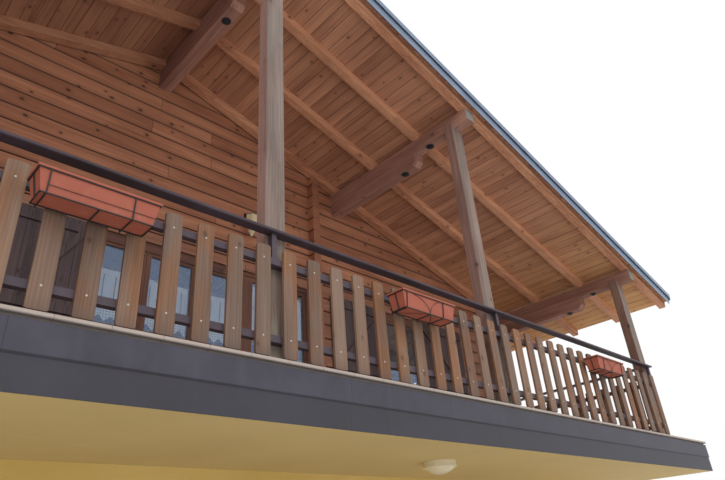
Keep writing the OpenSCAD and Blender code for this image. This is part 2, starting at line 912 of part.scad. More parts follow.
module hanger_bar() {
    back = rail_front + rail_d - planter_back;
    top = upper_rail_z + rail_h - planter_z;
    lip_z = planter_h - planter_rim_h;
    along_x(-wire_t / 2, wire_t / 2)
        polygon([
            [planter_front(0) - wire_t, -wire_t], [wire_t, -wire_t], [wire_t, top],
            [back, top], [back, top - hanger_hook], [back + wire_t, top - hanger_hook],
            [back + wire_t, top + wire_t], [0, top + wire_t], [0, 0],
            [planter_front(0), 0], [planter_front(lip_z), lip_z],
            [planter_front(lip_z) - wire_t, lip_z]
        ]);
}

// One loop of wire round the box, whose top lies at height z
module wire_loop(z) {
    half = planter_half(z);
    front = planter_front(z);
    rear = planter_rear(z);
    for (y = [front - wire_t, rear])
        block([-half - wire_t, y, z - wire_t], [half + wire_t, y + wire_t, z]);
    for (x = [-half - wire_t, half])
        block([x, front - wire_t, z - wire_t], [x + wire_t, rear + wire_t, z]);
}

module planter_hangers() {
    lip_z = planter_h - planter_rim_h;
    mid_y = (planter_front(0) + planter_rear(0)) / 2;
    color(iron_black) for (x = planter_xs)
        translate([0, planter_back, planter_z]) {
            for (side = [-1, 1])
                translate([nearest_gap(x + side * hanger_spread), 0, 0]) hanger_bar();
            translate([x, 0, 0]) {
                wire_loop(0);
                wire_loop(lip_z);
                block([-wire_t / 2, planter_front(0), -wire_t], [wire_t / 2, planter_rear(0), 0]);
                both_sides() along_y(mid_y - wire_t / 2, mid_y + wire_t / 2)
                    polygon([
                        [planter_half(0), -wire_t], [planter_half(0) + wire_t, -wire_t],
                        [planter_half(lip_z) + wire_t, lip_z], [planter_half(lip_z), lip_z],
                        [planter_half(0), 0]
                    ]);
            }
        }
}

// Windows of the upper floor: the three-leaf window beside the balcony door, and plain ones
module upper_windows() {
    z = floor_level + sill_h;
    centre_w = balcony_door_x0 - centre_window_x0;
    color(logs_brown) {
        on_front(centre_window_x0, wall_front + frame_inset, z) {
            window_unit(centre_w, head_h - sill_h, 3, frame_head, frame_foot, frame_side);
            sill_board(centre_w, frame_inset, 0);
        }
        front_windows([-side_window_x, side_window_x], leaf_window_w, wall_front + frame_inset, z) {
            window_unit(leaf_window_w, head_h - sill_h, 1, frame_head, frame_foot, frame_side);
            sill_board(leaf_window_w, frame_inset, sill_ear);
        }
        back_windows(z, frame_inset) {
            window_unit(window_w, head_h - sill_h, 2, frame_head, frame_foot, frame_side);
            sill_board(window_w, frame_inset, sill_ear);
        }
        side_windows(z, frame_inset) {
            window_unit(window_w, side_head_z - z, 2, frame_head, frame_foot, frame_side);
            sill_board(window_w, frame_inset, sill_ear);
        }
    }
}

door_stile_left = 180;
door_stile_right = 90;
door_head = 110;
door_foot = 250;
door_frame_w = 50;
module balcony_door_pane() {
    translate([door_stile_left, door_foot])
        square([balcony_door_x1 - balcony_door_x0 - door_stile_left - door_stile_right,
            head_h - door_head - door_foot]);
}

// Balcony door: a frame on three sides, and a leaf with one tall pane that stands back in it
module balcony_door() {
    w = balcony_door_x1 - balcony_door_x0;
    color(logs_brown) on_front(balcony_door_x0, wall_front + frame_inset, floor_level) {
        linear_extrude(frame_d) difference() {
            square([w, head_h]);
            translate([door_frame_w, -eps]) square([w - 2 * door_frame_w, head_h - door_frame_w + eps]);
        }
        translate([0, 0, sash_setback]) linear_extrude(frame_d - sash_setback) difference() {
            square([w, head_h]);
            balcony_door_pane();
        }
    }
}

// Glass of both floors, one pane to each leaf
module panes(w, h, leaves, head) {
    linear_extrude(glass_t) pane_outline(w, h, leaves, head, frame_foot, frame_side);
}

module window_glass() {
    h = head_h - sill_h;
    z = floor_level + sill_h;
    pane_setback = (frame_d - glass_t) / 2;
    upper_inset = frame_inset + pane_setback;
    ground_inset = ground_frame_inset + pane_setback;
    ground_h = ground_head - ground_sill;
    color("#9fb6c4") {
        on_front(centre_window_x0, wall_front + upper_inset, z)
            panes(balcony_door_x0 - centre_window_x0, h, 3, frame_head);
        on_front(balcony_door_x0, wall_front + upper_inset, floor_level)
            linear_extrude(glass_t) balcony_door_pane();
        front_windows([-side_window_x, side_window_x], leaf_window_w, wall_front + upper_inset, z)
            panes(leaf_window_w, h, 1, frame_head);
        back_windows(z, upper_inset) panes(window_w, h, 2, frame_head);
        side_windows(z, upper_inset) panes(window_w, side_head_z - z, 2, frame_head);
        front_windows(ground_front_xs, window_w, ground_front + ground_inset, ground_sill)
            panes(window_w, ground_h, 2, frame_side);
        back_windows(ground_sill, ground_inset) panes(window_w, ground_h, 2, frame_side);
        side_windows(ground_sill, ground_inset) panes(window_w, ground_h, 2, frame_side);
    }
}

// Shutters: board leaves folded back against the logs, with two battens and a brace
module shutter(w, lean) {
    h = head_h - sill_h;
    edge = 60;
    block([0, -shutter_t, 0], [w, 0, h]);
    for (z = [edge, h - edge - batten_h])
        block([edge / 2, -shutter_t - batten_t, z], [w - edge / 2, -shutter_t + eps, z + batten_h]);
    along_y(-shutter_t - batten_t, -shutter_t + eps) {
        low = edge + batten_h - eps;
        high = h - edge - batten_h + eps;
        a = lean > 0 ? edge : w - edge - batten_h;
        b = lean > 0 ? w - edge - batten_h : edge;
        polygon([[a, low], [a + batten_h, low], [b + batten_h, high], [b, high]]);
    }
}

module shutters() {
    z = floor_level + sill_h;
    reach = leaf_window_w / 2 + shutter_gap;
    color(dark_wood) {
        translate([centre_window_x0 - shutter_gap - shutter_w, wall_front, z]) shutter(shutter_w, 1);
        both_sides() {
            translate([side_window_x - reach - side_shutter_w, wall_front, z])
                shutter(side_shutter_w, 1);
            translate([side_window_x + reach, wall_front, z]) shutter(side_shutter_w, -1);
        }
    }
}

// Wall lantern over the balcony door: a wall plate with an arm, a flat cap, and a six-sided glass
// that narrows to a point
module wall_lantern() {
    plate = [70, 15, 80];
    arm = [18, lantern_arm, 14];
    translate([lantern_x, wall_front, floor_level + lantern_z]) {
        color(iron_black) {
            translate([-plate[0] / 2, -plate[1], lantern_plate_z]) cube(plate);
            translate([-arm[0] / 2, -arm[1], lantern_plate_z]) cube([arm[0], arm[1] - eps, arm[2]]);
            translate([0, -lantern_arm, 0])
                cylinder(h = lantern_cap_h, r1 = lantern_cap_r, r2 = lantern_mid_r, $fn = 6);
        }
        color("#e8dcb8") translate([0, -lantern_arm, -lantern_body_h]) {
            cylinder(h = lantern_body_h, r1 = lantern_mid_r, r2 = lantern_top_r, $fn = 6);
            translate([0, 0, -lantern_foot_h])
                cylinder(h = lantern_foot_h, r1 = lantern_tip_r, r2 = lantern_mid_r, $fn = 6);
        }
    }
}

// Round lamps under the balcony: a drum with a rim, and a glass dome, which is the cap of a sphere
module soffit_lamps() {
    dome_sphere_r = (lamp_dome_r * lamp_dome_r + lamp_dome_h * lamp_dome_h) / (2 * lamp_dome_h);
    both_sides() translate([lamp_x, front_edge + lamp_setback, soffit_z - lamp_base_h]) {
        color("white") {
            cylinder(h = lamp_base_h, r = lamp_r, $fn = 64);
            cylinder(h = lamp_rim_h, r = lamp_rim_r, $fn = 64);
        }
        color("#e4e4e0") intersection() {
            translate([0, 0, dome_sphere_r - lamp_dome_h]) sphere(r = dome_sphere_r, $fn = 64);
            translate([0, 0, -lamp_dome_h - eps])
                cylinder(h = lamp_dome_h + eps + eps, r = lamp_r, $fn = 64);
        }
    }
}

ground_slab();
ground_wall_front();
ground_wall_back();
ground_wall_left();
ground_wall_right();
ground_windows();
front_door();
upper_slab();
floor_finish();
fascia_front();
fascia_sides();
fascia_back();
log_wall_front();
log_wall_back();
log_wall_left();
log_wall_right();
log_ends();
purlins();
purlin_corbels();
rafters_left();
rafters_right();
eave_boards();
roof_boards_left();
roof_boards_right();
roof_sheet_left();
roof_sheet_right();
verge_flashings_left();
verge_flashings_right();
eave_flashings();
ridge_cap();
balcony_posts();
handrails();
rail_frames();
pickets_front();
pickets_left();
pickets_right();
planters();
planter_soil();
planter_hangers();
upper_windows();
window_glass();
balcony_door();
shutters();
wall_lantern();
soffit_lamps();
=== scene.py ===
# An alpine chalet, dressed from its foot up: rendered ground floor, slab and balcony, log walls,
# roof carpentry and covering, railing with its flower boxes, and the windows. Metres and degrees.
import math
import random

import bmesh
import bpy
from mathutils import Matrix, Vector


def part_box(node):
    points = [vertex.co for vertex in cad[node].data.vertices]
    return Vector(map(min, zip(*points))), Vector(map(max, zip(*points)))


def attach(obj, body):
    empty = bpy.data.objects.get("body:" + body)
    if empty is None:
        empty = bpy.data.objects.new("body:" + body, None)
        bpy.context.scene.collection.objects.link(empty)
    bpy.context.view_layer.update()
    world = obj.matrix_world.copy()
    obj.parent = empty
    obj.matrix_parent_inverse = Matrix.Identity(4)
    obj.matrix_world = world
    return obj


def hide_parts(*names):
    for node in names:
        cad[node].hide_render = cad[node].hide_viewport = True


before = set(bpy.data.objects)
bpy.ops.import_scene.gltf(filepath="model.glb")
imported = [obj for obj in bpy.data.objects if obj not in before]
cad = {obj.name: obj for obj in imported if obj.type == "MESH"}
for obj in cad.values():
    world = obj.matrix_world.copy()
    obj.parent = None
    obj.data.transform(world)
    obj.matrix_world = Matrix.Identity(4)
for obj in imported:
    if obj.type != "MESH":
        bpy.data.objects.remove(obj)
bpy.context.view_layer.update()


# ------------------------------------------------------------------------------ Studio
# A camera low before the house, a little left of the ridge, that looks up to the right under the
# roof. Soft white light from all round, and a pale floor.
EYE = (-2.382, -8.850, 1.680)
EYE_TURN = (118.527, 4.048, -43.664)
LENS_MM = 29.41
SENSOR_MM = 36.0
FARTHEST = 500.0
WHITE = (1.0, 1.0, 1.0, 1.0)
LIGHT_STRENGTH = 0.95
BACKDROP_STRENGTH = 1.0
SUN_STRENGTH = 0.6
SUN_SOFTNESS = 40.0
SUN_TURN = (52.0, 0.0, -28.0)
FLOOR_HALF = 60.0
FLOOR_GREY = (0.8, 0.8, 0.8, 1.0)
FLOOR_ROUGH = 0.9


def radians3(turn):
    return tuple(math.radians(angle) for angle in turn)


camera_data = bpy.data.cameras.new("camera")
camera_data.lens = LENS_MM
camera_data.sensor_width = SENSOR_MM
camera_data.clip_end = FARTHEST
camera = bpy.data.objects.new("camera", camera_data)
camera.location = EYE
camera.rotation_euler = radians3(EYE_TURN)
bpy.context.scene.collection.objects.link(camera)
bpy.context.scene.camera = camera
bpy.context.scene.view_settings.view_transform = "Standard"


def add_node(tree, kind, inputs=None, **settings):
    """A shader node with its settings, and each input linked or given a value."""
    made = tree.nodes.new(kind)
    for key, value in settings.items():
        setattr(made, key, value)
    for key, value in (inputs or {}).items():
        if isinstance(value, bpy.types.NodeSocket):
            tree.links.new(value, made.inputs[key])
        else:
            made.inputs[key].default_value = value
    return made


def calc(tree, operation, *terms, clamp=False):
    """The result of one sum on sockets and numbers."""
    made = add_node(tree, "ShaderNodeMath", operation=operation, use_clamp=clamp)
    for place, term in enumerate(terms):
        if isinstance(term, bpy.types.NodeSocket):
            tree.links.new(term, made.inputs[place])
        else:
            made.inputs[place].default_value = term
    return made.outputs[0]


world = bpy.data.worlds.new("studio")
bpy.context.scene.world = world
world.use_nodes = True
around = world.node_tree
around.nodes.clear()
path = add_node(around, "ShaderNodeLightPath")
seen = calc(around, "MAXIMUM", path.outputs["Is Camera Ray"], path.outputs["Is Glossy Ray"])
seen = calc(around, "MAXIMUM", seen, path.outputs["Is Transmission Ray"])
light = add_node(around, "ShaderNodeBackground", {"Color": WHITE, "Strength": LIGHT_STRENGTH})
backdrop = add_node(around, "ShaderNodeBackground", {"Color": WHITE, "Strength": BACKDROP_STRENGTH})
mixed = add_node(around, "ShaderNodeMixShader",
                 {0: seen, 1: light.outputs[0], 2: backdrop.outputs[0]})
add_node(around, "ShaderNodeOutputWorld", {"Surface": mixed.outputs[0]})

sun_data = bpy.data.lights.new("soft_sun", "SUN")
sun_data.energy = SUN_STRENGTH
sun_data.angle = math.radians(SUN_SOFTNESS)
sun = bpy.data.objects.new("soft_sun", sun_data)
sun.rotation_euler = radians3(SUN_TURN)
bpy.context.scene.collection.objects.link(sun)


def new_finish(name):
    """A material with its Principled shader and output, ready for colours."""
    material = bpy.data.materials.new(name)
    material.use_nodes = True
    tree = material.node_tree
    tree.nodes.clear()
    shader = tree.nodes.new("ShaderNodeBsdfPrincipled")
    output = tree.nodes.new("ShaderNodeOutputMaterial")
    tree.links.new(shader.outputs[0], output.inputs["Surface"])
    return material, tree, shader


floor_mesh = bpy.data.meshes.new("studio_floor")
floor_build = bmesh.new()
bmesh.ops.create_grid(floor_build, x_segments=1, y_segments=1, size=FLOOR_HALF)
floor_build.to_mesh(floor_mesh)
floor_build.free()
studio_floor = bpy.data.objects.new("studio_floor", floor_mesh)
bpy.context.scene.collection.objects.link(studio_floor)
floor_finish, floor_tree, floor_shader = new_finish("studio_floor")
floor_shader.inputs["Base Color"].default_value = FLOOR_GREY
floor_shader.inputs["Roughness"].default_value = FLOOR_ROUGH
floor_mesh.materials.append(floor_finish)


# ------------------------------------------------------------------------------ Ground floor
# Brick walls under a rubbed lime render in yellow ochre, on a concrete slab. The render has the
# float's soft waves, a fine sand grain, and darker splash marks along its foot.
SPLASH_TOP = 0.45


def paint(red, green, blue):
    """A colour as it is seen on screen, 0 to 255, turned into the linear one that shaders take."""
    def linear(value):
        share = value / 255.0
        return share / 12.92 if share <= 0.04045 else ((share + 0.055) / 1.055) ** 2.4
    return (linear(red), linear(green), linear(blue), 1.0)


def times(tree, one, other):
    return calc(tree, "MULTIPLY", one, other)


def plus(tree, one, other):
    return calc(tree, "ADD", one, other)


def mix(tree, amount, low, high):
    """A colour between two, by a mask."""
    made = add_node(tree, "ShaderNodeMix", data_type="RGBA")
    for place, term in ((0, amount), (6, low), (7, high)):
        if isinstance(term, bpy.types.NodeSocket):
            tree.links.new(term, made.inputs[place])
        else:
            made.inputs[place].default_value = term
    return made.outputs[2]


def spot(tree, vector, **sizes):
    """A noise texture in metres: scale in marks per metre."""
    inputs = {key.title(): value for key, value in sizes.items()}
    inputs["Vector"] = vector
    return add_node(tree, "ShaderNodeTexNoise", inputs).outputs["Fac"]


def stretch(tree, low, high, value):
    """A mask that runs from 0 to 1 as the value goes from low to high."""
    return add_node(tree, "ShaderNodeMapRange",
                    {"Value": value, "From Min": low, "From Max": high}, clamp=True).outputs[0]


def coat(tree, shader, colour, rough):
    """Gives the shader its colour, and its roughness as one number or a mask."""
    tree.links.new(colour, shader.inputs["Base Color"])
    if isinstance(rough, bpy.types.NodeSocket):
        tree.links.new(rough, shader.inputs["Roughness"])
    else:
        shader.inputs["Roughness"].default_value = rough


def relief(tree, shader, height, strength, depth):
    """Gives the shader a bump from a height mask."""
    bump = add_node(tree, "ShaderNodeBump",
                    {"Height": height, "Strength": strength, "Distance": depth})
    tree.links.new(bump.outputs[0], shader.inputs["Normal"])


def place_of(tree):
    """The point on the piece, in metres in the house's own frame."""
    return add_node(tree, "ShaderNodeTexCoord").outputs["Object"]


def axes_of(tree):
    """The same point's three measures."""
    return add_node(tree, "ShaderNodeSeparateXYZ", {0: place_of(tree)}).outputs


def scaled(tree, vector, by):
    """A place measured in other units along each axis."""
    return add_node(tree, "ShaderNodeVectorMath", {0: vector, 1: by},
                    operation="MULTIPLY").outputs[0]


def dress(material, *names):
    """Gives a construction node its finish."""
    for name in names:
        piece = cad[name]
        piece.data.materials.clear()
        piece.data.materials.append(material)


def render_finish():
    material, tree, shader = new_finish("ochre_render")
    place = place_of(tree)
    clouds = spot(tree, place, scale=0.9, detail=4.0)
    sand = spot(tree, place, scale=140.0, detail=2.0)
    float_marks = spot(tree, place, scale=9.0, detail=3.0)
    colour = mix(tree, stretch(tree, 0.35, 0.7, clouds), paint(222, 192, 114), paint(234, 206, 132))
    colour = mix(tree, times(tree, sand, 0.35), colour, paint(204, 172, 98))
    height = axes_of(tree)["Z"]
    splash = times(tree, stretch(tree, SPLASH_TOP, 0.0, height),
                   stretch(tree, 0.3, 0.75, float_marks))
    colour = mix(tree, times(tree, splash, 0.7), colour, paint(128, 112, 84))
    coat(tree, shader, colour, 0.9)
    relief(tree, shader, plus(tree, sand, times(tree, float_marks, 1.5)), 0.5, 0.004)
    return material


# The slab's underside is painted like the walls, a shade duller, with pores and light scuffs.
def concrete_finish():
    material, tree, shader = new_finish("soffit_concrete")
    place = place_of(tree)
    clouds = spot(tree, place, scale=1.3, detail=5.0)
    pores = spot(tree, place, scale=55.0, detail=2.0)
    scuffs = stretch(tree, 0.70, 0.76,
                     spot(tree, scaled(tree, place, (3.0, 30.0, 9.0)), scale=1.0, detail=3.0))
    colour = mix(tree, clouds, paint(200, 176, 120), paint(214, 190, 134))
    pitted = times(tree, stretch(tree, 0.62, 0.75, pores), 0.25)
    colour = mix(tree, pitted, colour, paint(156, 132, 86))
    colour = mix(tree, times(tree, scuffs, 0.5), colour, paint(232, 218, 180))
    coat(tree, shader, colour, 0.85)
    relief(tree, shader, pores, 0.25, 0.003)
    return material


dress(render_finish(),
      "ground_wall_front", "ground_wall_back", "ground_wall_left", "ground_wall_right")
dress(concrete_finish(), "ground_slab", "upper_slab")


# ------------------------------------------------------------------------------ Floor and edge
# Beige stone-grain tiles over the slab, whose edge shows as a pale strip. Under it a folded sheet
# in anthracite covers the slab's edge, in lengths that lap over each other, screwed near its fold.
TILE = 0.30
TILE_JOINT = 0.005
# The band of painted shadow along the foot of the tiles' edge: its top and its depth.
EDGE_SHADOW_TOP = 2.884
EDGE_SHADOW_DEEP = 0.005
FASCIA_LENGTH = 2.27
FASCIA_START = -5.186
FOLD_HEIGHT = 2.686
FOLD_ROUND = 0.01
LAP_WIDE = 0.006
LINE_OUTER, LINE_INNER = 0.6, 0.3


def less(tree, one, other):
    return calc(tree, "SUBTRACT", one, other)


def off_middle(tree, value):
    """How far a value is from the middle between two whole numbers."""
    return calc(tree, "ABSOLUTE", less(tree, calc(tree, "FRACT", value), 0.5))


def modulo_line(tree, value, pitch, width):
    """1 on a line of that width at each pitch, and 0 between."""
    off = off_middle(tree, calc(tree, "DIVIDE", value, pitch))
    return stretch(tree, 0.5 - LINE_OUTER * width / pitch, 0.5 - LINE_INNER * width / pitch, off)


def tile_finish():
    material, tree, shader = new_finish("beige_tiles")
    place, axes = place_of(tree), axes_of(tree)
    joints = calc(tree, "MAXIMUM", modulo_line(tree, axes["X"], TILE, TILE_JOINT),
                  modulo_line(tree, axes["Y"], TILE, TILE_JOINT))
    speckle = spot(tree, place, scale=90.0, detail=3.0)
    clouds = spot(tree, place, scale=4.0, detail=4.0)
    colour = mix(tree, clouds, paint(176, 162, 152), paint(202, 188, 178))
    colour = mix(tree, times(tree, speckle, 0.4), colour, paint(138, 124, 114))
    colour = mix(tree, times(tree, joints, 0.6), colour, paint(96, 88, 84))
    # Painted shadow along the lowest few millimetres of the tiles' edge.
    edge_shadow = times(tree, stretch(tree, EDGE_SHADOW_TOP, EDGE_SHADOW_TOP - EDGE_SHADOW_DEEP, axes["Z"]), 0.6)
    colour = mix(tree, edge_shadow, colour, paint(72, 66, 68))
    coat(tree, shader, colour, 0.7)
    relief(tree, shader, less(tree, times(tree, speckle, 0.3), joints), 0.4, 0.003)
    return material


def sheet_metal_finish(name, dark, light, rough, lap=0.0, lap_start=0.0, shade=None,
                       shade_tone=None):
    """Painted sheet: slow waves, dust and rain streaks, and dark laps between its lengths."""
    material, tree, shader = new_finish(name)
    place, axes = place_of(tree), axes_of(tree)
    dust = spot(tree, place, scale=2.2, detail=6.0, roughness=0.62)
    height = spot(tree, place, scale=1.6, detail=1.0)
    streaks = spot(tree, scaled(tree, place, (14.0, 14.0, 0.8)), scale=1.0, detail=3.0)
    colour = mix(tree, stretch(tree, 0.3, 0.75, dust), dark, light)
    colour = mix(tree, times(tree, stretch(tree, 0.55, 0.8, streaks), 0.5), colour, light)
    # An optional mask of painted shade, with its own tone.
    if shade:
        colour = mix(tree, shade(tree, axes), colour, shade_tone)
    if lap:
        run = less(tree, plus(tree, axes["X"], axes["Y"]), lap_start)
        laps = modulo_line(tree, run, lap, LAP_WIDE)
        colour = mix(tree, times(tree, laps, 0.6), colour, paint(26, 26, 30))
        height = less(tree, height, laps)
    coat(tree, shader, colour, calc(tree, "MULTIPLY_ADD", dust, 0.25, rough))
    relief(tree, shader, height, 0.25, 0.004)
    return material


def lower_plate_shade(tree, axes):
    """Painted shade on the lower plate, which turns away from the light."""
    below = stretch(tree, FOLD_HEIGHT + FOLD_ROUND, FOLD_HEIGHT - FOLD_ROUND, axes["Z"])
    return times(tree, below, 0.45)


dress(tile_finish(), "floor_finish")
dress(sheet_metal_finish("anthracite_sheet", paint(52, 50, 60), paint(75, 73, 87), 0.42,
                         FASCIA_LENGTH, FASCIA_START, lower_plate_shade, paint(44, 42, 46)),
      "fascia_front", "fascia_sides", "fascia_back")


# ------------------------------------------------------------------------------ Log walls
# Squared spruce logs 0.12 thick in courses of 0.19, oiled in red-brown, with a V groove at each
# joint and a tone of its own for each log. Along a wall the logs butt end to end, at a different
# place in each course. Their faces are a little rounded, shown by painted shade towards each log's
# upper and lower edge.
wall_low, wall_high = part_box("log_wall_front")
COURSE = 0.190
FIRST_JOINT = wall_low.z + COURSE / 2
LOG_LENGTH = 4.1
COURSE_STEP = 13.7
BUTT_WIDE = 0.006
GROOVE_WIDE = 0.016
DULL_FROM, DULL_TO = 5.35, 4.95
LOG_TONES = (paint(132, 80, 57), paint(176, 116, 85), paint(210, 150, 114))
LOG_DULL = (paint(100, 68, 56), paint(142, 100, 82))
GROOVE_TONE = paint(46, 30, 24)
KNOT_TONE = paint(58, 40, 32)
KNOTS_LEFT_OUT = (0.53, 0.55)
KNOT_LEAST, KNOT_SPREAD = 0.009, 0.010
PIECE_SHIFT = (37.0, 11.0, 5.0)
GRAIN_DEEP = 0.0025


def timber_grain(name, dimensions, cell, squash):
    """The shared figure of the wood, from a place whose X runs along the grain: its tone, oval
    knots and their soft halo, its relief, and the rings on sawn ends."""
    group = bpy.data.node_groups.new(name, "ShaderNodeTree")
    face = group.interface
    face.new_socket("Grain Place", in_out="INPUT", socket_type="NodeSocketVector")
    face.new_socket("Piece", in_out="INPUT", socket_type="NodeSocketFloat")
    for output in ("Tone", "Knots", "Halo", "Relief", "Rings"):
        face.new_socket(output, in_out="OUTPUT", socket_type="NodeSocketFloat")
    inside = group.nodes.new("NodeGroupInput")
    outside = group.nodes.new("NodeGroupOutput")
    shift = add_node(group, "ShaderNodeVectorMath",
                     {0: PIECE_SHIFT, "Scale": inside.outputs["Piece"]},
                     operation="SCALE").outputs[0]
    place = add_node(group, "ShaderNodeVectorMath", {0: inside.outputs["Grain Place"], 1: shift},
                     operation="ADD").outputs[0]

    # Knots: one point in each cell, kept in near half of the cells, longer along the grain
    cells = scaled(group, place, tuple(1.0 / side for side in cell))
    points = add_node(group, "ShaderNodeTexVoronoi",
                      {"Vector": cells, "Scale": 1.0, "Randomness": 0.8},
                      voronoi_dimensions=dimensions)
    apart = add_node(group, "ShaderNodeVectorMath", {0: cells, 1: points.outputs["Position"]},
                     operation="SUBTRACT").outputs[0]
    apart = scaled(group, apart, tuple(side * share for side, share in zip(cell, squash)))
    far = add_node(group, "ShaderNodeVectorMath", {0: apart}, operation="LENGTH").outputs["Value"]
    lot = add_node(group, "ShaderNodeSeparateColor", {0: points.outputs["Color"]}).outputs
    kept = stretch(group, *KNOTS_LEFT_OUT, lot[0])
    radius = calc(group, "MULTIPLY_ADD", lot[1], KNOT_SPREAD, KNOT_LEAST)
    share = calc(group, "DIVIDE", far, radius)
    knot = times(group, kept, stretch(group, 1.15, 0.7, share))
    halo = times(group, kept, stretch(group, 3.0, 1.0, share))

    # Slow patches, streaks and fibres along the grain, and the yearly bands between them
    patch = spot(group, scaled(group, place, (0.9, 3.0, 3.0)), scale=1.0, detail=2.0)
    streak = spot(group, scaled(group, place, (0.8, 24.0, 24.0)), scale=1.0, detail=3.0,
                  roughness=0.55)
    fibre = spot(group, scaled(group, place, (6.0, 190.0, 190.0)), scale=1.0, detail=2.0)
    across = add_node(group, "ShaderNodeSeparateXYZ", {0: place}).outputs
    run = plus(group, times(group, across["Y"], 260.0), times(group, across["Z"], 190.0))
    run = plus(group, run, times(group, plus(group, patch, streak), 18.0))
    band = calc(group, "MULTIPLY_ADD", calc(group, "SINE", run), 0.5, 0.5)
    tone = plus(group, times(group, patch, 0.44), times(group, streak, 0.32))
    tone = plus(group, tone, times(group, fibre, 0.16))
    tone = plus(group, tone, times(group, band, 0.08))
    height = plus(group, times(group, band, 0.2), times(group, fibre, 0.6))
    height = less(group, height, times(group, knot, 0.8))
    rings = add_node(group, "ShaderNodeTexWave",
                     {"Vector": inside.outputs["Grain Place"], "Scale": 52.0, "Distortion": 3.0,
                      "Detail": 2.0, "Detail Scale": 0.3},
                     wave_type="RINGS", rings_direction="X").outputs["Fac"]
    for output, value in (("Tone", tone), ("Knots", knot), ("Halo", halo), ("Relief", height),
                          ("Rings", rings)):
        group.links.new(value, outside.inputs[output])
    return group


FLAT_GRAIN = timber_grain("grain_of_faces", "2D", (0.42, 0.13, 0.13), (0.7, 1.0, 0.0))
ROUND_GRAIN = timber_grain("grain_of_sticks", "3D", (0.44, 0.10, 0.10), (0.7, 1.0, 1.0))


def hash_of(tree, value):
    """A steady random number for each whole number."""
    return add_node(tree, "ShaderNodeTexWhiteNoise", {"W": value},
                    noise_dimensions="1D").outputs["Value"]


def facing_of(tree):
    """The three measures of the way that a face looks."""
    normal = add_node(tree, "ShaderNodeTexCoord").outputs["Normal"]
    return add_node(tree, "ShaderNodeSeparateXYZ", {0: normal}).outputs


def grain_along(axis, flat=None):
    """The grain runs along one axis; through a flat one, a knot keeps its shape."""
    def place(tree, axes):
        facing = facing_of(tree)
        inputs = {"X": axes[axis]}
        inputs.update(zip("YZ", (axes[other] for other in "XYZ" if other not in (axis, flat))))
        ends = stretch(tree, 0.8, 0.95, calc(tree, "ABSOLUTE", facing[axis]))
        along = add_node(tree, "ShaderNodeCombineXYZ", inputs).outputs[0]
        return along, ends, FLAT_GRAIN if flat else ROUND_GRAIN
    return place


def timber_finish(name, tones, grain, piece, rough=0.6, spread=0.35, layers=(), bump=0.35,
                  knots=0.85):
    """Timber: three tones along the grain, knots, sawn ends, a tone for each piece, and layers of
    dirt or weather, each with its mask, one tone or a pair of them, and how deep it lies."""
    material, tree, shader = new_finish(name)
    axes = axes_of(tree)
    place, ends, group = grain(tree, axes)
    number = piece(tree, axes)
    figure = add_node(tree, "ShaderNodeGroup", node_tree=group)
    tree.links.new(place, figure.inputs["Grain Place"])
    tree.links.new(number, figure.inputs["Piece"])
    tone = figure.outputs["Tone"]
    colour = mix(tree, stretch(tree, 0.34, 0.50, tone), tones[0], tones[1])
    colour = mix(tree, stretch(tree, 0.50, 0.66, tone), colour, tones[2])
    for extreme, own_tone in ((1.0, tones[2]), (0.0, tones[0])):
        share = times(tree, stretch(tree, 0.5, extreme, number), spread)
        colour = mix(tree, share, colour, own_tone)
    height = figure.outputs["Relief"]
    for mask, layer, depth in layers:
        marks = mask(tree, axes, tone)
        if isinstance(layer[0], tuple):
            layer = mix(tree, stretch(tree, 0.38, 0.62, tone), *layer)
        colour = mix(tree, marks, colour, layer)
        if depth:
            height = less(tree, height, times(tree, marks, depth))
    colour = mix(tree, times(tree, figure.outputs["Halo"], 0.5 * knots), colour, tones[0])
    colour = mix(tree, times(tree, figure.outputs["Knots"], knots), colour, KNOT_TONE)
    rings = mix(tree, stretch(tree, 0.35, 0.75, figure.outputs["Rings"]), tones[0], tones[1])
    colour = mix(tree, times(tree, ends, 0.8), colour, rings)
    coat(tree, shader, colour, calc(tree, "MULTIPLY_ADD", tone, 0.2, rough))
    relief(tree, shader, height, bump, GRAIN_DEEP)
    return material


def course_rise(tree, axes):
    """The height in courses."""
    return calc(tree, "DIVIDE", less(tree, axes["Z"], FIRST_JOINT), COURSE)


def log_run(tree, axes, along):
    """A point's course, and how far along it the point is, in logs."""
    course = calc(tree, "FLOOR", course_rise(tree, axes))
    start = times(tree, hash_of(tree, course), LOG_LENGTH)
    return course, calc(tree, "DIVIDE", plus(tree, axes[along], start), LOG_LENGTH)


def log_number(along):
    """A number for each log: its course, and its place along the wall."""
    def number(tree, axes):
        course, run = log_run(tree, axes, along)
        return hash_of(tree, plus(tree, times(tree, course, COURSE_STEP), calc(tree, "FLOOR", run)))
    return number


def log_joints(along):
    """The butt joints, and the dirt in the grooves between courses."""
    def marks(tree, axes, tone):
        butt = modulo_line(tree, log_run(tree, axes, along)[1], 1.0, BUTT_WIDE / LOG_LENGTH)
        groove = modulo_line(tree, course_rise(tree, axes), 1.0, GROOVE_WIDE / COURSE)
        return times(tree, calc(tree, "MAXIMUM", butt, groove), 0.9)
    return marks


def painted_round_shade(tree, axes, tone):
    """Painted shade, darker towards a log's upper and lower edge, as on a rounded face."""
    off = off_middle(tree, course_rise(tree, axes))
    return times(tree, calc(tree, "POWER", times(tree, off, 2.0), 2.5), 0.5)


def lower_logs_duller(tree, axes, tone):
    """The lower logs, up to the windows' heads, are duller."""
    return times(tree, stretch(tree, DULL_FROM, DULL_TO, axes["Z"]), 0.6)


def log_finish(name, along, flat):
    return timber_finish(name, LOG_TONES, grain_along(along, flat), log_number(along),
                         layers=((lower_logs_duller, LOG_DULL, 0.0), (painted_round_shade, LOG_TONES[0], 0.0),
                                 (log_joints(along), GROOVE_TONE, 2.0)))


dress(log_finish("oiled_logs_across", "X", "Y"), "log_wall_front", "log_wall_back")
dress(log_finish("oiled_logs_inward", "Y", "X"), "log_wall_left", "log_wall_right", "log_ends")


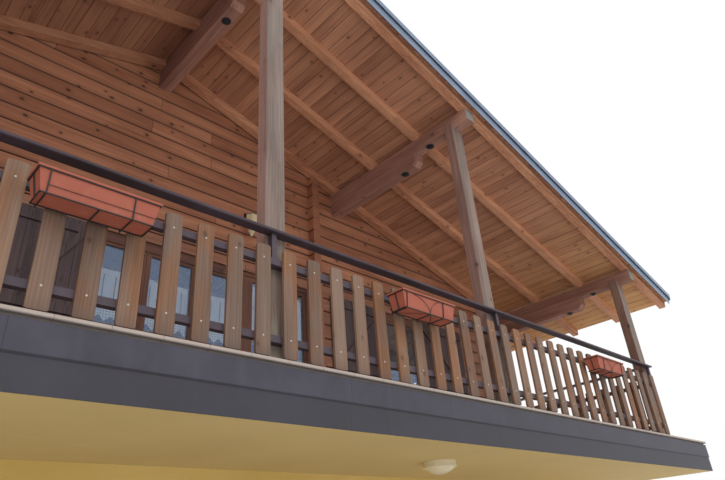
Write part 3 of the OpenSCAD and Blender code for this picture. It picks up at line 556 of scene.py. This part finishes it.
# ------------------------------------------------------------------------------ Roof carpentry
# Purlins and corbels in a dull red-brown, paler rafters, and spruce boards laid across them and
# tongued together, with a small V at each joint. Bolts with broad washers draw each corbel to its
# purlin, and thin zinc plates keep the rain off the purlins' ends.
PURLIN_TONES = (paint(122, 86, 75), paint(166, 120, 104), paint(199, 152, 132))
RAFTER_TONES = (paint(164, 108, 80), paint(208, 147, 112), paint(236, 180, 140))
BOARD_TONES = (paint(150, 99, 76), paint(193, 138, 107), paint(222, 166, 130))
# Painted light: the yellower tones that boards take far out under the eave.
EAVE_GLOW_TONES = (paint(206, 150, 92), paint(236, 186, 122))
GLOW_FROM, GLOW_TO = 4.6, 7.8
# The share of its tone that the left slope's timber keeps under painted shade.
LEFT_SHADE = 0.78
PURLIN_ROW = 1.4
RAFTER_PITCH = 0.830
RAFTER_OUT = 0.075
RAFTER_STEPS = range(-2, 12)
ROOF_SLOPE = math.radians(16.4)
BOARD_THICK = 0.025
BOARD_WIDTH = 0.136
BOARD_CHAMFER = 0.004
BOARD_SEED = 11
BOARD_CUTS = 3
SHORTEST_BOARD = 0.8
BUTT_GAP = 0.002
PURLIN_PLACES = ((-6.720, 5.263), (-2.826, 6.409), (0.0, 7.271), (2.826, 6.409), (6.720, 5.263))
PURLIN_WIDE = 0.156
PURLIN_SHOWS = 0.137
CORBEL_HIGH = 0.185
CORBEL_BOLT_Y = -4.700
PURLIN_BOLT_Y = -5.170
BACK_BOLT_OUT = 0.300
WASHER_RADIUS, WASHER_THICK, WASHER_SIDES = 0.052, 0.007, 20
NUT_RADIUS, NUT_HIGH, NUT_SIDES = 0.026, 0.020, 6
PLATE_THICK = 0.003
PLATE_CORNER = 0.034
PLATE_LIFT = 0.002
NOUGHT = 1e-6


def piece_across(axis, pitch):
    """A number for each piece in a row of like ones."""
    return lambda tree, axes: hash_of(
        tree, calc(tree, "FLOOR", calc(tree, "DIVIDE", axes[axis], pitch)))


def painted_eave_glow(tree, axes, tone):
    """Painted light: boards far out under the eave are lit yellower, as by bounced sunlight."""
    return times(tree, stretch(tree, GLOW_FROM, GLOW_TO, calc(tree, "ABSOLUTE", axes["X"])), 0.8)


def shaded_copy(tones):
    """The left slope's timber: a darker copy of the same tones, as painted shade."""
    return tuple(tuple(LEFT_SHADE * part for part in tone[:3]) + (1.0,) for tone in tones)


def rafter_finish(name, tones):
    return timber_finish(name, tones, grain_along("X"), piece_across("Y", RAFTER_PITCH / 2))


dress(timber_finish("purlin_timber", PURLIN_TONES, grain_along("Y"),
                    piece_across("X", PURLIN_ROW), rough=0.82),
      "purlins", "purlin_corbels")
dress(rafter_finish("rafter_timber", RAFTER_TONES), "rafters_right", "eave_boards")
dress(rafter_finish("rafter_timber_left_shaded", shaded_copy(RAFTER_TONES)), "rafters_left")


def finish_piece(name, build, material, slot, *replaced):
    """Turns a built mesh into a piece of the house that rides on its one body."""
    mesh = bpy.data.meshes.new(name)
    build.to_mesh(mesh)
    build.free()
    mesh.materials.append(material)
    piece = bpy.data.objects.new(name, mesh)
    bpy.context.scene.collection.objects.link(piece)
    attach(piece, "root")
    if replaced:
        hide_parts(*replaced)
    return piece


def beam(build, low, high, chamfer, edges):
    """A squared stick between two corners, with the chosen edges broken."""
    made = bmesh.ops.create_cube(build, size=1.0)["verts"]
    span = [b - a for a, b in zip(low, high)]
    middle = [(a + b) / 2 for a, b in zip(low, high)]
    bmesh.ops.scale(build, vec=span, verts=made)
    bmesh.ops.translate(build, vec=middle, verts=made)
    sides = {edge for vert in made for edge in vert.link_edges}
    chosen = [edge for edge in sides if edges(edge)]
    bmesh.ops.bevel(build, geom=chosen, offset=chamfer, affect="EDGES", segments=1, profile=0.5,
                    material=-1)


def under_edge(edge):
    """A long lower edge of a board that still lies flat at nought."""
    one, other = (vert.co for vert in edge.verts)
    return abs(one.z) < NOUGHT and abs(other.z) < NOUGHT and abs(one.y - other.y) > 0.01


def roof_boards(side):
    """The boards under one slope, laid from the ridge to the eave and butted over the rafters."""
    low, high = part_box("roof_boards_right")
    draw = random.Random(BOARD_SEED + side)
    build = bmesh.new()
    tone = build.faces.layers.float.new("board")
    joint = build.faces.layers.float.new("joint")
    ridge_z = high.z - BOARD_THICK / math.cos(ROOF_SLOPE)
    run = (high.x - BOARD_THICK * math.sin(ROOF_SLOPE)) / math.cos(ROOF_SLOPE)
    count = int(run / BOARD_WIDTH)
    width = run / count
    first_rafter = wall_low.y - RAFTER_OUT
    rafters = [first_rafter + k * RAFTER_PITCH for k in RAFTER_STEPS]
    for row in range(count):
        cuts = sorted(draw.sample(rafters, BOARD_CUTS))
        cuts = [cut for cut in cuts if low.y + SHORTEST_BOARD < cut < high.y - SHORTEST_BOARD]
        ends = [low.y] + cuts + [high.y]
        for start, stop in zip(ends, ends[1:]):
            before = set(build.faces)
            beam(build, (row * width, start + BUTT_GAP / 2, 0.0),
                 ((row + 1) * width, stop - BUTT_GAP / 2, BOARD_THICK), BOARD_CHAMFER, under_edge)
            number = draw.random()
            for face in set(build.faces) - before:
                face.normal_update()
                face[tone] = number
                face[joint] = 1.0 if max(abs(share) for share in face.normal) < 0.9 else 0.0
    bmesh.ops.rotate(build, cent=(0, 0, 0), matrix=Matrix.Rotation(ROOF_SLOPE, 3, "Y"),
                     verts=build.verts)
    bmesh.ops.translate(build, vec=(0, 0, ridge_z), verts=build.verts)
    if side < 0:
        bmesh.ops.scale(build, vec=(-1, 1, 1), verts=build.verts)
        bmesh.ops.reverse_faces(build, faces=build.faces)
    return build


def face_value(tree, name):
    """A number that each face of the boards holds."""
    return add_node(tree, "ShaderNodeAttribute", attribute_name=name).outputs["Fac"]


def board_number(tree, axes):
    return face_value(tree, "board")


def board_joint(tree, axes, tone):
    """Shadow and dust in the V between two boards."""
    return times(tree, face_value(tree, "joint"), 0.45)


# The left slope's boards take a darker copy of their tones: painted shade.
for side, label, tones in ((1, "right", BOARD_TONES), (-1, "left", shaded_copy(BOARD_TONES))):
    board_wood = timber_finish(
        "board_spruce_" + label, tones, grain_along("Y", "Z"), board_number, spread=0.3, knots=0.5,
        layers=((painted_eave_glow, EAVE_GLOW_TONES, 0.0), (board_joint, GROOVE_TONE, 0.0)))
    finish_piece("roof_boarding_" + label, roof_boards(side), board_wood, "roof_wood",
                 "roof_boards_" + label)


def disc(build, centre, radius, high, sides):
    """A round or six-sided plate that hangs down from a point."""
    place = Matrix.Translation(Vector(centre) - Vector((0, 0, high / 2)))
    bmesh.ops.create_cone(build, cap_ends=True, segments=sides, radius1=radius, radius2=radius,
                          depth=high, matrix=place)


bolts = bmesh.new()
for purlin_x, purlin_z in PURLIN_PLACES:
    corbel_z = purlin_z - CORBEL_HIGH
    for bolt_y, bolt_z in ((CORBEL_BOLT_Y, corbel_z), (PURLIN_BOLT_Y, purlin_z),
                           (wall_high.y + BACK_BOLT_OUT, corbel_z)):
        disc(bolts, (purlin_x, bolt_y, bolt_z), WASHER_RADIUS, WASHER_THICK, WASHER_SIDES)
        disc(bolts, (purlin_x, bolt_y, bolt_z - WASHER_THICK), NUT_RADIUS, NUT_HIGH, NUT_SIDES)
black_steel = sheet_metal_finish("blackened_steel", paint(34, 38, 44), paint(52, 58, 66), 0.5)
finish_piece("corbel_bolts", bolts, black_steel, "wire")


def zinc_finish(name, dark, light, rough):
    """Bare galvanised metal: a pale grey with the zinc's cloudy flakes."""
    material, tree, shader = new_finish(name)
    place = place_of(tree)
    flakes = add_node(tree, "ShaderNodeTexVoronoi",
                      {"Vector": place, "Scale": 70.0}).outputs["Color"]
    dull = spot(tree, place, scale=18.0, detail=5.0)
    amount = calc(tree, "MULTIPLY_ADD", flakes, 0.35, times(tree, dull, 0.6))
    colour = mix(tree, amount, dark, light)
    coat(tree, shader, colour, calc(tree, "MULTIPLY_ADD", dull, 0.2, rough))
    shader.inputs["Metallic"].default_value = 0.45
    relief(tree, shader, dull, 0.1, 0.0005)
    return material


purlin_low, purlin_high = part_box("purlins")
plates = bmesh.new()
for purlin_x, purlin_z in PURLIN_PLACES:
    plate_z = purlin_z + PLATE_LIFT
    for front, back in ((purlin_low.y - PLATE_THICK, purlin_low.y),
                        (purlin_high.y, purlin_high.y + PLATE_THICK)):
        beam(plates, (purlin_x - PURLIN_WIDE / 2, front, plate_z),
             (purlin_x + PURLIN_WIDE / 2, back, purlin_z + PURLIN_SHOWS), PLATE_CORNER,
             lambda edge: all(abs(vert.co.z - plate_z) < NOUGHT for vert in edge.verts)
             and abs(edge.verts[0].co.y - edge.verts[1].co.y) > PLATE_THICK / 2)
plate_zinc = zinc_finish("weathered_zinc", paint(112, 112, 104), paint(158, 156, 146), 0.5)
finish_piece("purlin_end_plates", plates, plate_zinc, "flashing_metal")


# ------------------------------------------------------------------------------ Roof covering
# Dark grey standing-seam sheet, edged along verges, eaves and ridge with folded flashings in
# blue-grey, in lengths that lap over each other.
FLASHING_LENGTH = 2.0

dress(sheet_metal_finish("roof_sheet", paint(78, 82, 88), paint(104, 108, 114), 0.4),
      "roof_sheet_left", "roof_sheet_right")
dress(sheet_metal_finish("blue_grey_flashing", paint(108, 124, 146), paint(140, 154, 176), 0.38,
                         FLASHING_LENGTH),
      "verge_flashings_left", "verge_flashings_right", "eave_flashings", "ridge_cap")


# ------------------------------------------------------------------------------ Posts and railing
# Square posts, weathered grey on their outer side and pale at the foot. Spruce pickets, screwed
# to steel rails that are painted a dark violet-brown, as the handrail is.
POST_TONES = (paint(100, 70, 60), paint(132, 98, 84), paint(158, 124, 108))
POST_GREY = (paint(110, 99, 92), paint(150, 137, 128))
POST_PALE = (paint(140, 132, 118), paint(184, 176, 158))
POST_FLANK = (paint(156, 122, 112), paint(192, 156, 146))
PICKET_TONES = (paint(102, 74, 56), paint(130, 98, 77), paint(154, 120, 94))
PICKET_WARM = (paint(118, 76, 46), paint(150, 102, 66))
PICKET_GREY = (paint(96, 82, 76), paint(132, 116, 106))
FLOOR_TOP = 2.9
BLEACHED_FOOT = 2.85
NEAR_RIDGE, OFF_RIDGE = 0.9, 4.4
DAMP_TOP, DAMP_FOOT = 3.02, 2.93
PICKET_PITCH = 0.234
PICKET_WIDE = 0.118
RAIL_RISES = (0.165, 0.755)
SCREW_RADIUS = 0.007
SCREW_FLAT = (1.0, 0.45, 1.0)
FASCIA_SCREW_RADIUS = 0.005
FASCIA_SCREW_PITCH = 0.57
FASCIA_SCREW_START = 0.3
FASCIA_SCREW_IN = 0.0118
FASCIA_SCREW_RISE = 0.06


def faces_front(tree):
    """1 where the face looks out to the front."""
    return stretch(tree, -0.2, -0.8, facing_of(tree)["Y"])


def front_grey(strength):
    """Grey on the front, in tall patches, with the grain showing through."""
    def mask(tree, axes, tone):
        patches = spot(tree, scaled(tree, place_of(tree), (3.0, 3.0, 1.2)), scale=1.0, detail=4.0)
        worn = times(tree, faces_front(tree), stretch(tree, 0.15, 0.62, patches))
        return times(tree, worn, strength)
    return mask


def warm_patches(tree, axes, tone):
    """The oil's orange-brown where it has lasted."""
    patches = spot(tree, scaled(tree, place_of(tree), (5.0, 5.0, 1.6)), scale=1.0, detail=2.0)
    return times(tree, stretch(tree, 0.48, 0.64, patches), 0.75)


def rain_foot(tree, axes, tone):
    """The post's foot, bleached by rain that splashes up from the floor."""
    ragged = spot(tree, scaled(tree, place_of(tree), (30.0, 30.0, 2.0)), scale=1.0)
    edge = calc(tree, "MULTIPLY_ADD", ragged, 0.7, BLEACHED_FOOT)
    return times(tree, stretch(tree, 0.12, -0.12, less(tree, axes["Z"], edge)), 0.75)


def ridge_post(tree, axes, tone):
    """The middle post has bleached on its flanks too, and the next ones a little."""
    flank = less(tree, 1.0, faces_front(tree))
    near = stretch(tree, OFF_RIDGE, NEAR_RIDGE, calc(tree, "ABSOLUTE", axes["X"]))
    return times(tree, times(tree, near, flank), 0.7)


def damp_foot(tree, axes, tone):
    """Damp that darkens the pickets' lower ends."""
    return times(tree, stretch(tree, DAMP_TOP, DAMP_FOOT, axes["Z"]), 0.4)


dress(timber_finish("post_timber", POST_TONES, grain_along("Z"), piece_across("X", PURLIN_ROW),
                    bump=0.5, layers=((front_grey(0.95), POST_GREY, 0.0),
                                      (ridge_post, POST_FLANK, 0.0), (rain_foot, POST_PALE, 0.0))),
      "balcony_posts")


def picket_finish(name, row, flat):
    return timber_finish(name, PICKET_TONES, grain_along("Z", flat),
                         piece_across(row, PICKET_PITCH), spread=0.6, bump=0.5, knots=0.5,
                         layers=((front_grey(0.55), PICKET_GREY, 0.0),
                                 (warm_patches, PICKET_WARM, 0.0),
                                 (damp_foot, PICKET_GREY[0], 0.0)))


dress(picket_finish("picket_spruce_front", "X", "Y"), "pickets_front")
dress(picket_finish("picket_spruce_sides", "Y", "X"), "pickets_left", "pickets_right")
dress(sheet_metal_finish("violet_handrail_paint", paint(50, 38, 46), paint(78, 64, 76), 0.34),
      "handrails")
dress(sheet_metal_finish("violet_rail_paint", paint(56, 45, 53), paint(88, 75, 86), 0.34),
      "rail_frames")


def screw_head(build, centre, radius):
    """A low round head that stands out to the front."""
    made = bmesh.ops.create_uvsphere(build, u_segments=8, v_segments=5, radius=radius)["verts"]
    bmesh.ops.scale(build, vec=SCREW_FLAT, verts=made)
    bmesh.ops.translate(build, vec=centre, verts=made)


picket_low, picket_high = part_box("pickets_front")
picket_count = round((picket_high.x - picket_low.x - PICKET_WIDE) / PICKET_PITCH) + 1
screws = bmesh.new()
for number in range(picket_count):
    centre_x = picket_high.x - PICKET_WIDE / 2 - number * PICKET_PITCH
    for rise in RAIL_RISES:
        screw_head(screws, (centre_x, picket_low.y, FLOOR_TOP + rise), SCREW_RADIUS)
screw_zinc = zinc_finish("zinc_screws", paint(176, 174, 166), paint(214, 212, 206), 0.3)
finish_piece("picket_screws", screws, screw_zinc, "flashing_metal")

fascia_low, fascia_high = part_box("fascia_front")
fascia_screws = bmesh.new()
for number in range(int((fascia_high.x - fascia_low.x) / FASCIA_SCREW_PITCH)):
    centre_x = fascia_low.x + FASCIA_SCREW_START + number * FASCIA_SCREW_PITCH
    screw_head(fascia_screws, (centre_x, fascia_low.y + FASCIA_SCREW_IN,
                               FOLD_HEIGHT + FASCIA_SCREW_RISE), FASCIA_SCREW_RADIUS)
finish_piece("fascia_screws", fascia_screws, screw_zinc, "flashing_metal")


# ------------------------------------------------------------------------------ Flower boxes
# Terracotta-coloured tubs with potting soil in them, held to the rail by cages of black wire. Most
# cages have bent arcs before the front and braces under the foot, one has a straight front wire.
BOX_BARS = ((-4.850, -4.967, -4.733), (1.410, 1.117, 1.585), (4.820, 4.627, 5.095))
PLAIN_CAGE = (-1.691, -1.085)
PLAIN_RISE = 0.36
WIRE_RADIUS = 0.002
FOOT_Z, LIP_Z = 3.4915, 3.6325
FOOT_FRONT, LIP_FRONT, FOOT_BACK = -5.9080, -5.9230, -5.7570
ARC_STEPS = 7


def terracotta_finish():
    material, tree, shader = new_finish("terracotta")
    place = place_of(tree)
    clouds = spot(tree, place, scale=7.0, detail=4.0)
    grit = spot(tree, place, scale=220.0, detail=2.0)
    lime = stretch(tree, 0.56, 0.78, spot(tree, place, scale=14.0, detail=5.0))
    colour = mix(tree, clouds, paint(162, 84, 64), paint(182, 102, 80))
    colour = mix(tree, times(tree, lime, 0.2), colour, paint(206, 158, 138))
    colour = mix(tree, times(tree, grit, 0.2), colour, paint(138, 72, 56))
    coat(tree, shader, colour, 0.7)
    relief(tree, shader, grit, 0.12, 0.001)
    return material


def soil_finish():
    material, tree, shader = new_finish("potting_soil")
    crumbs = spot(tree, place_of(tree), scale=70.0, detail=6.0, roughness=0.7)
    colour = mix(tree, stretch(tree, 0.35, 0.7, crumbs), paint(38, 28, 22), paint(92, 70, 54))
    coat(tree, shader, colour, 0.95)
    relief(tree, shader, crumbs, 1.0, 0.012)
    return material


black_wire = sheet_metal_finish("black_wire", paint(36, 31, 31), paint(54, 47, 47), 0.45)
dress(terracotta_finish(), "planters")
dress(soil_finish(), "planter_soil")
dress(black_wire, "planter_hangers")


def rod(build, start, end, radius, sides=6):
    """A straight round rod from one point to another."""
    start, end = Vector(start), Vector(end)
    turn = (end - start).to_track_quat("Z", "Y").to_matrix().to_4x4()
    bmesh.ops.create_cone(build, cap_ends=True, segments=sides, radius1=radius, radius2=radius,
                          depth=(end - start).length,
                          matrix=Matrix.Translation((start + end) / 2) @ turn)


def cage_front(rise):
    """The front of a cage at a share of its height, from foot to lip."""
    return FOOT_FRONT + (LIP_FRONT - FOOT_FRONT) * rise, FOOT_Z + (LIP_Z - FOOT_Z) * rise


arcs = bmesh.new()
for middle, bar_left, bar_right in BOX_BARS:
    for bar in (bar_left, bar_right):
        bends = []
        for step in range(ARC_STEPS + 1):
            turned = math.radians(90.0 * step / ARC_STEPS)
            out = middle + (bar - middle) * (1 - math.cos(turned))
            bends.append((out, *cage_front(math.sin(turned))))
        for start, end in zip(bends, bends[1:]):
            rod(arcs, start, end, WIRE_RADIUS)
        rod(arcs, (middle, FOOT_FRONT, FOOT_Z), (bar, FOOT_BACK, FOOT_Z), WIRE_RADIUS)
plain_left, plain_right = ((x, *cage_front(PLAIN_RISE)) for x in PLAIN_CAGE)
rod(arcs, plain_left, plain_right, WIRE_RADIUS)
finish_piece("cage_arcs", arcs, black_wire, "wire")


# ------------------------------------------------------------------------------ Windows and doors
# Spruce frames, stained darker than the walls, with clear panes that carry a painted blue
# reflection of sky. Dark board shutters on heavy battens, a glazed balcony door, and a plain dark
# entrance door.
FRAME_TONES = (paint(72, 44, 36), paint(102, 64, 50), paint(128, 84, 66))
DARK_TONES = (paint(49, 37, 40), paint(73, 57, 60), paint(95, 77, 79))
SEAM_TONE = paint(20, 14, 15)
SHUTTER_BOARD = 0.115
SHUTTER_SEAM = 0.006
FRAME_ROW = 0.5
MITRE_SOFT = 0.001
GLAZED = (("upper_windows", 3.910, 4.760), ("balcony_door", 3.150, 4.800),
          ("ground_windows", 0.980, 1.970))


def frame_grain(bottom, top):
    """Uprights between two heights, and rails above and below them, on walls that face any way."""
    def place(tree, axes):
        across = plus(tree, axes["X"], axes["Y"])
        between = times(
            tree, stretch(tree, bottom - MITRE_SOFT, bottom + MITRE_SOFT, axes["Z"]),
            stretch(tree, top + MITRE_SOFT, top - MITRE_SOFT, axes["Z"]))
        upright = add_node(tree, "ShaderNodeCombineXYZ", {"X": axes["Z"], "Y": across}).outputs[0]
        rail = add_node(tree, "ShaderNodeCombineXYZ", {"X": across, "Y": axes["Z"]}).outputs[0]
        return mix(tree, between, rail, upright), 0.0, FLAT_GRAIN
    return place


def board_lines(tree, axes, tone):
    """The joints between upright boards."""
    across = plus(tree, axes["X"], axes["Y"])
    return times(tree, modulo_line(tree, across, SHUTTER_BOARD, SHUTTER_SEAM), 0.9)


def glass_finish():
    """Clear double panes with a faint film of dust, and a painted blue reflection of sky."""
    material, tree, shader = new_finish("window_glass")
    clouds = spot(tree, place_of(tree), scale=1.5, detail=2.0)
    colour = mix(tree, clouds, paint(238, 244, 250), paint(246, 250, 253))
    coat(tree, shader, colour, calc(tree, "MULTIPLY_ADD", clouds, 0.03, 0.01))
    shader.inputs["Transmission Weight"].default_value = 0.93
    # Painted reflection: a blue tint on the mirroring that stands for sky.
    shader.inputs["Specular Tint"].default_value = (0.40, 0.60, 1.0, 1.0)
    shader.inputs["IOR"].default_value = 1.85
    return material


for window, bottom, top in GLAZED:
    dress(timber_finish(window + "_timber", FRAME_TONES, frame_grain(bottom, top),
                        piece_across("X", FRAME_ROW), rough=0.55), window)
dress(timber_finish("dark_stained_boards", DARK_TONES, grain_along("Z", "Y"),
                    piece_across("X", SHUTTER_BOARD), spread=0.6,
                    layers=((board_lines, SEAM_TONE, 2.0),)), "shutters", "front_door")
dress(glass_finish(), "window_glass")


# ------------------------------------------------------------------------------ Curtains
# Short lace curtains on thin brass rods, just behind the panes of the balcony's window and door:
# a fine net with a pierced top band, drawn threads, and a pointed hem. They hang in slight waves.
LACE_Y = -3.188
LACE_PITCH = 0.123
LACE_LOW, LACE_TOP = 3.945, 4.505
LACE_PANES = (("lace_1", -0.470, 0.000, LACE_LOW, LACE_TOP),
              ("lace_2", 0.100, 0.570, LACE_LOW, LACE_TOP),
              ("lace_3", 0.670, 1.140, LACE_LOW, LACE_TOP),
              ("lace_door", 1.410, 2.180, 4.060, 4.770))
LACE_COLUMNS, LACE_ROWS = 10, 16
HEM_DEPTH = 0.060
WAVE_DEEP = 0.004
WAVES_TO_A_POINT = 0.7
BAND_DEEP = 0.066
HEM_HIGH = 0.125
BAND_SOFT = 0.006
HOLE_PITCH, HOLE_SIZE, HOLE_SOFT = 0.0308, 0.30, 0.08
DRAWN_WIDE = 0.013
ROD_RADIUS = 0.003
ROD_OUT = 0.012
ROD_SIDES = 8


def diamonds(tree, axes, pitch, size):
    """Small holes in rows, each standing on its point."""
    offs = [off_middle(tree, calc(tree, "DIVIDE", axes[axis], pitch)) for axis in "XZ"]
    return stretch(tree, size, size - HOLE_SOFT, plus(tree, *offs))


def lace_finish(name, bottom, top):
    """White thread, close in the bands and open in the net, with drawn threads at each point."""
    material, tree, shader = new_finish(name)
    axes = axes_of(tree)
    threads = spot(tree, scaled(tree, place_of(tree), (900.0, 40.0, 900.0)), scale=1.0, detail=1.0)
    band = stretch(tree, top - BAND_DEEP, top - BAND_DEEP + BAND_SOFT, axes["Z"])
    hem = stretch(tree, bottom + HEM_HIGH, bottom + HEM_HIGH - BAND_SOFT, axes["Z"])
    closed = calc(tree, "MAXIMUM", band, hem)
    cloth = calc(tree, "MULTIPLY_ADD", closed, 0.12, 0.86)
    holes = times(tree, closed, diamonds(tree, axes, HOLE_PITCH, HOLE_SIZE))
    drawn = modulo_line(tree, axes["X"], LACE_PITCH, DRAWN_WIDE)
    holes = calc(tree, "MAXIMUM", holes, times(tree, drawn, less(tree, 1.0, closed)))
    alpha = less(tree, cloth, times(tree, holes, 0.78))
    alpha = calc(tree, "ADD", alpha, times(tree, less(tree, threads, 0.5), 0.2), clamp=True)
    colour = mix(tree, threads, paint(226, 230, 234), paint(248, 250, 252))
    coat(tree, shader, colour, 0.9)
    tree.links.new(alpha, shader.inputs["Alpha"])
    relief(tree, shader, threads, 0.3, 0.0006)
    return material


def lace_panel(left, right, bottom, top):
    """One pane's curtain: a grid hung in shallow waves and drawn down to a point at each pitch."""
    columns = round((right - left) / LACE_PITCH * LACE_COLUMNS)
    build = bmesh.new()
    bmesh.ops.create_grid(build, x_segments=columns, y_segments=LACE_ROWS, size=0.5)
    for vert in build.verts:
        x = left + (vert.co.x + 0.5) * (right - left)
        point = abs(math.fmod(abs(x) / LACE_PITCH, 1.0) - 0.5) * 2
        low = bottom + HEM_DEPTH * point
        wave = WAVE_DEEP * math.sin(2 * math.pi * x / LACE_PITCH * WAVES_TO_A_POINT)
        vert.co = (x, LACE_Y + wave, low + (vert.co.y + 0.5) * (top - low))
    return build


rods = bmesh.new()
for name, left, right, bottom, top in LACE_PANES:
    rod(rods, (left - ROD_OUT, LACE_Y, top), (right + ROD_OUT, LACE_Y, top), ROD_RADIUS, ROD_SIDES)
brass = zinc_finish("brass_rods", paint(150, 118, 62), paint(190, 156, 92), 0.3)
finish_piece("curtain_rods", rods, brass, "lantern_metal")
for name, left, right, bottom, top in LACE_PANES:
    build = lace_panel(left, right, bottom, top)
    cut_area = sum(face.calc_area() for face in build.faces)
    panel = finish_piece(name, build, lace_finish(name + "_net", bottom, top), "lamp_white")


# ------------------------------------------------------------------------------ Lamps
# A wall lantern with a black iron plate and cap over a cream glass, and round cream-white lamps
# under the balcony, with a milky dome in an enamelled rim.
LANTERN_CAP = 5.620
LANTERN_PLATE_Y = -3.310
METAL_EDGE = 0.002


def lamp_finish(name, base, shade, rough, metal=None):
    material, tree, shader = new_finish(name)
    dust = spot(tree, place_of(tree), scale=14.0, detail=4.0)
    colour = mix(tree, dust, base, shade)
    if metal:
        axes = axes_of(tree)
        iron = calc(tree, "MAXIMUM",
                    stretch(tree, LANTERN_CAP - METAL_EDGE, LANTERN_CAP, axes["Z"]),
                    stretch(tree, LANTERN_PLATE_Y, LANTERN_PLATE_Y + METAL_EDGE, axes["Y"]))
        colour = mix(tree, iron, colour, metal)
    coat(tree, shader, colour, calc(tree, "MULTIPLY_ADD", dust, 0.2, rough))
    relief(tree, shader, dust, 0.1, 0.001)
    return material


dress(lamp_finish("lamp_enamel", paint(242, 232, 204), paint(222, 210, 178), 0.25), "soffit_lamps")
dress(lamp_finish("lantern_iron_and_glass", paint(224, 208, 172), paint(200, 184, 146), 0.3,
                  paint(26, 24, 28)), "wall_lantern")
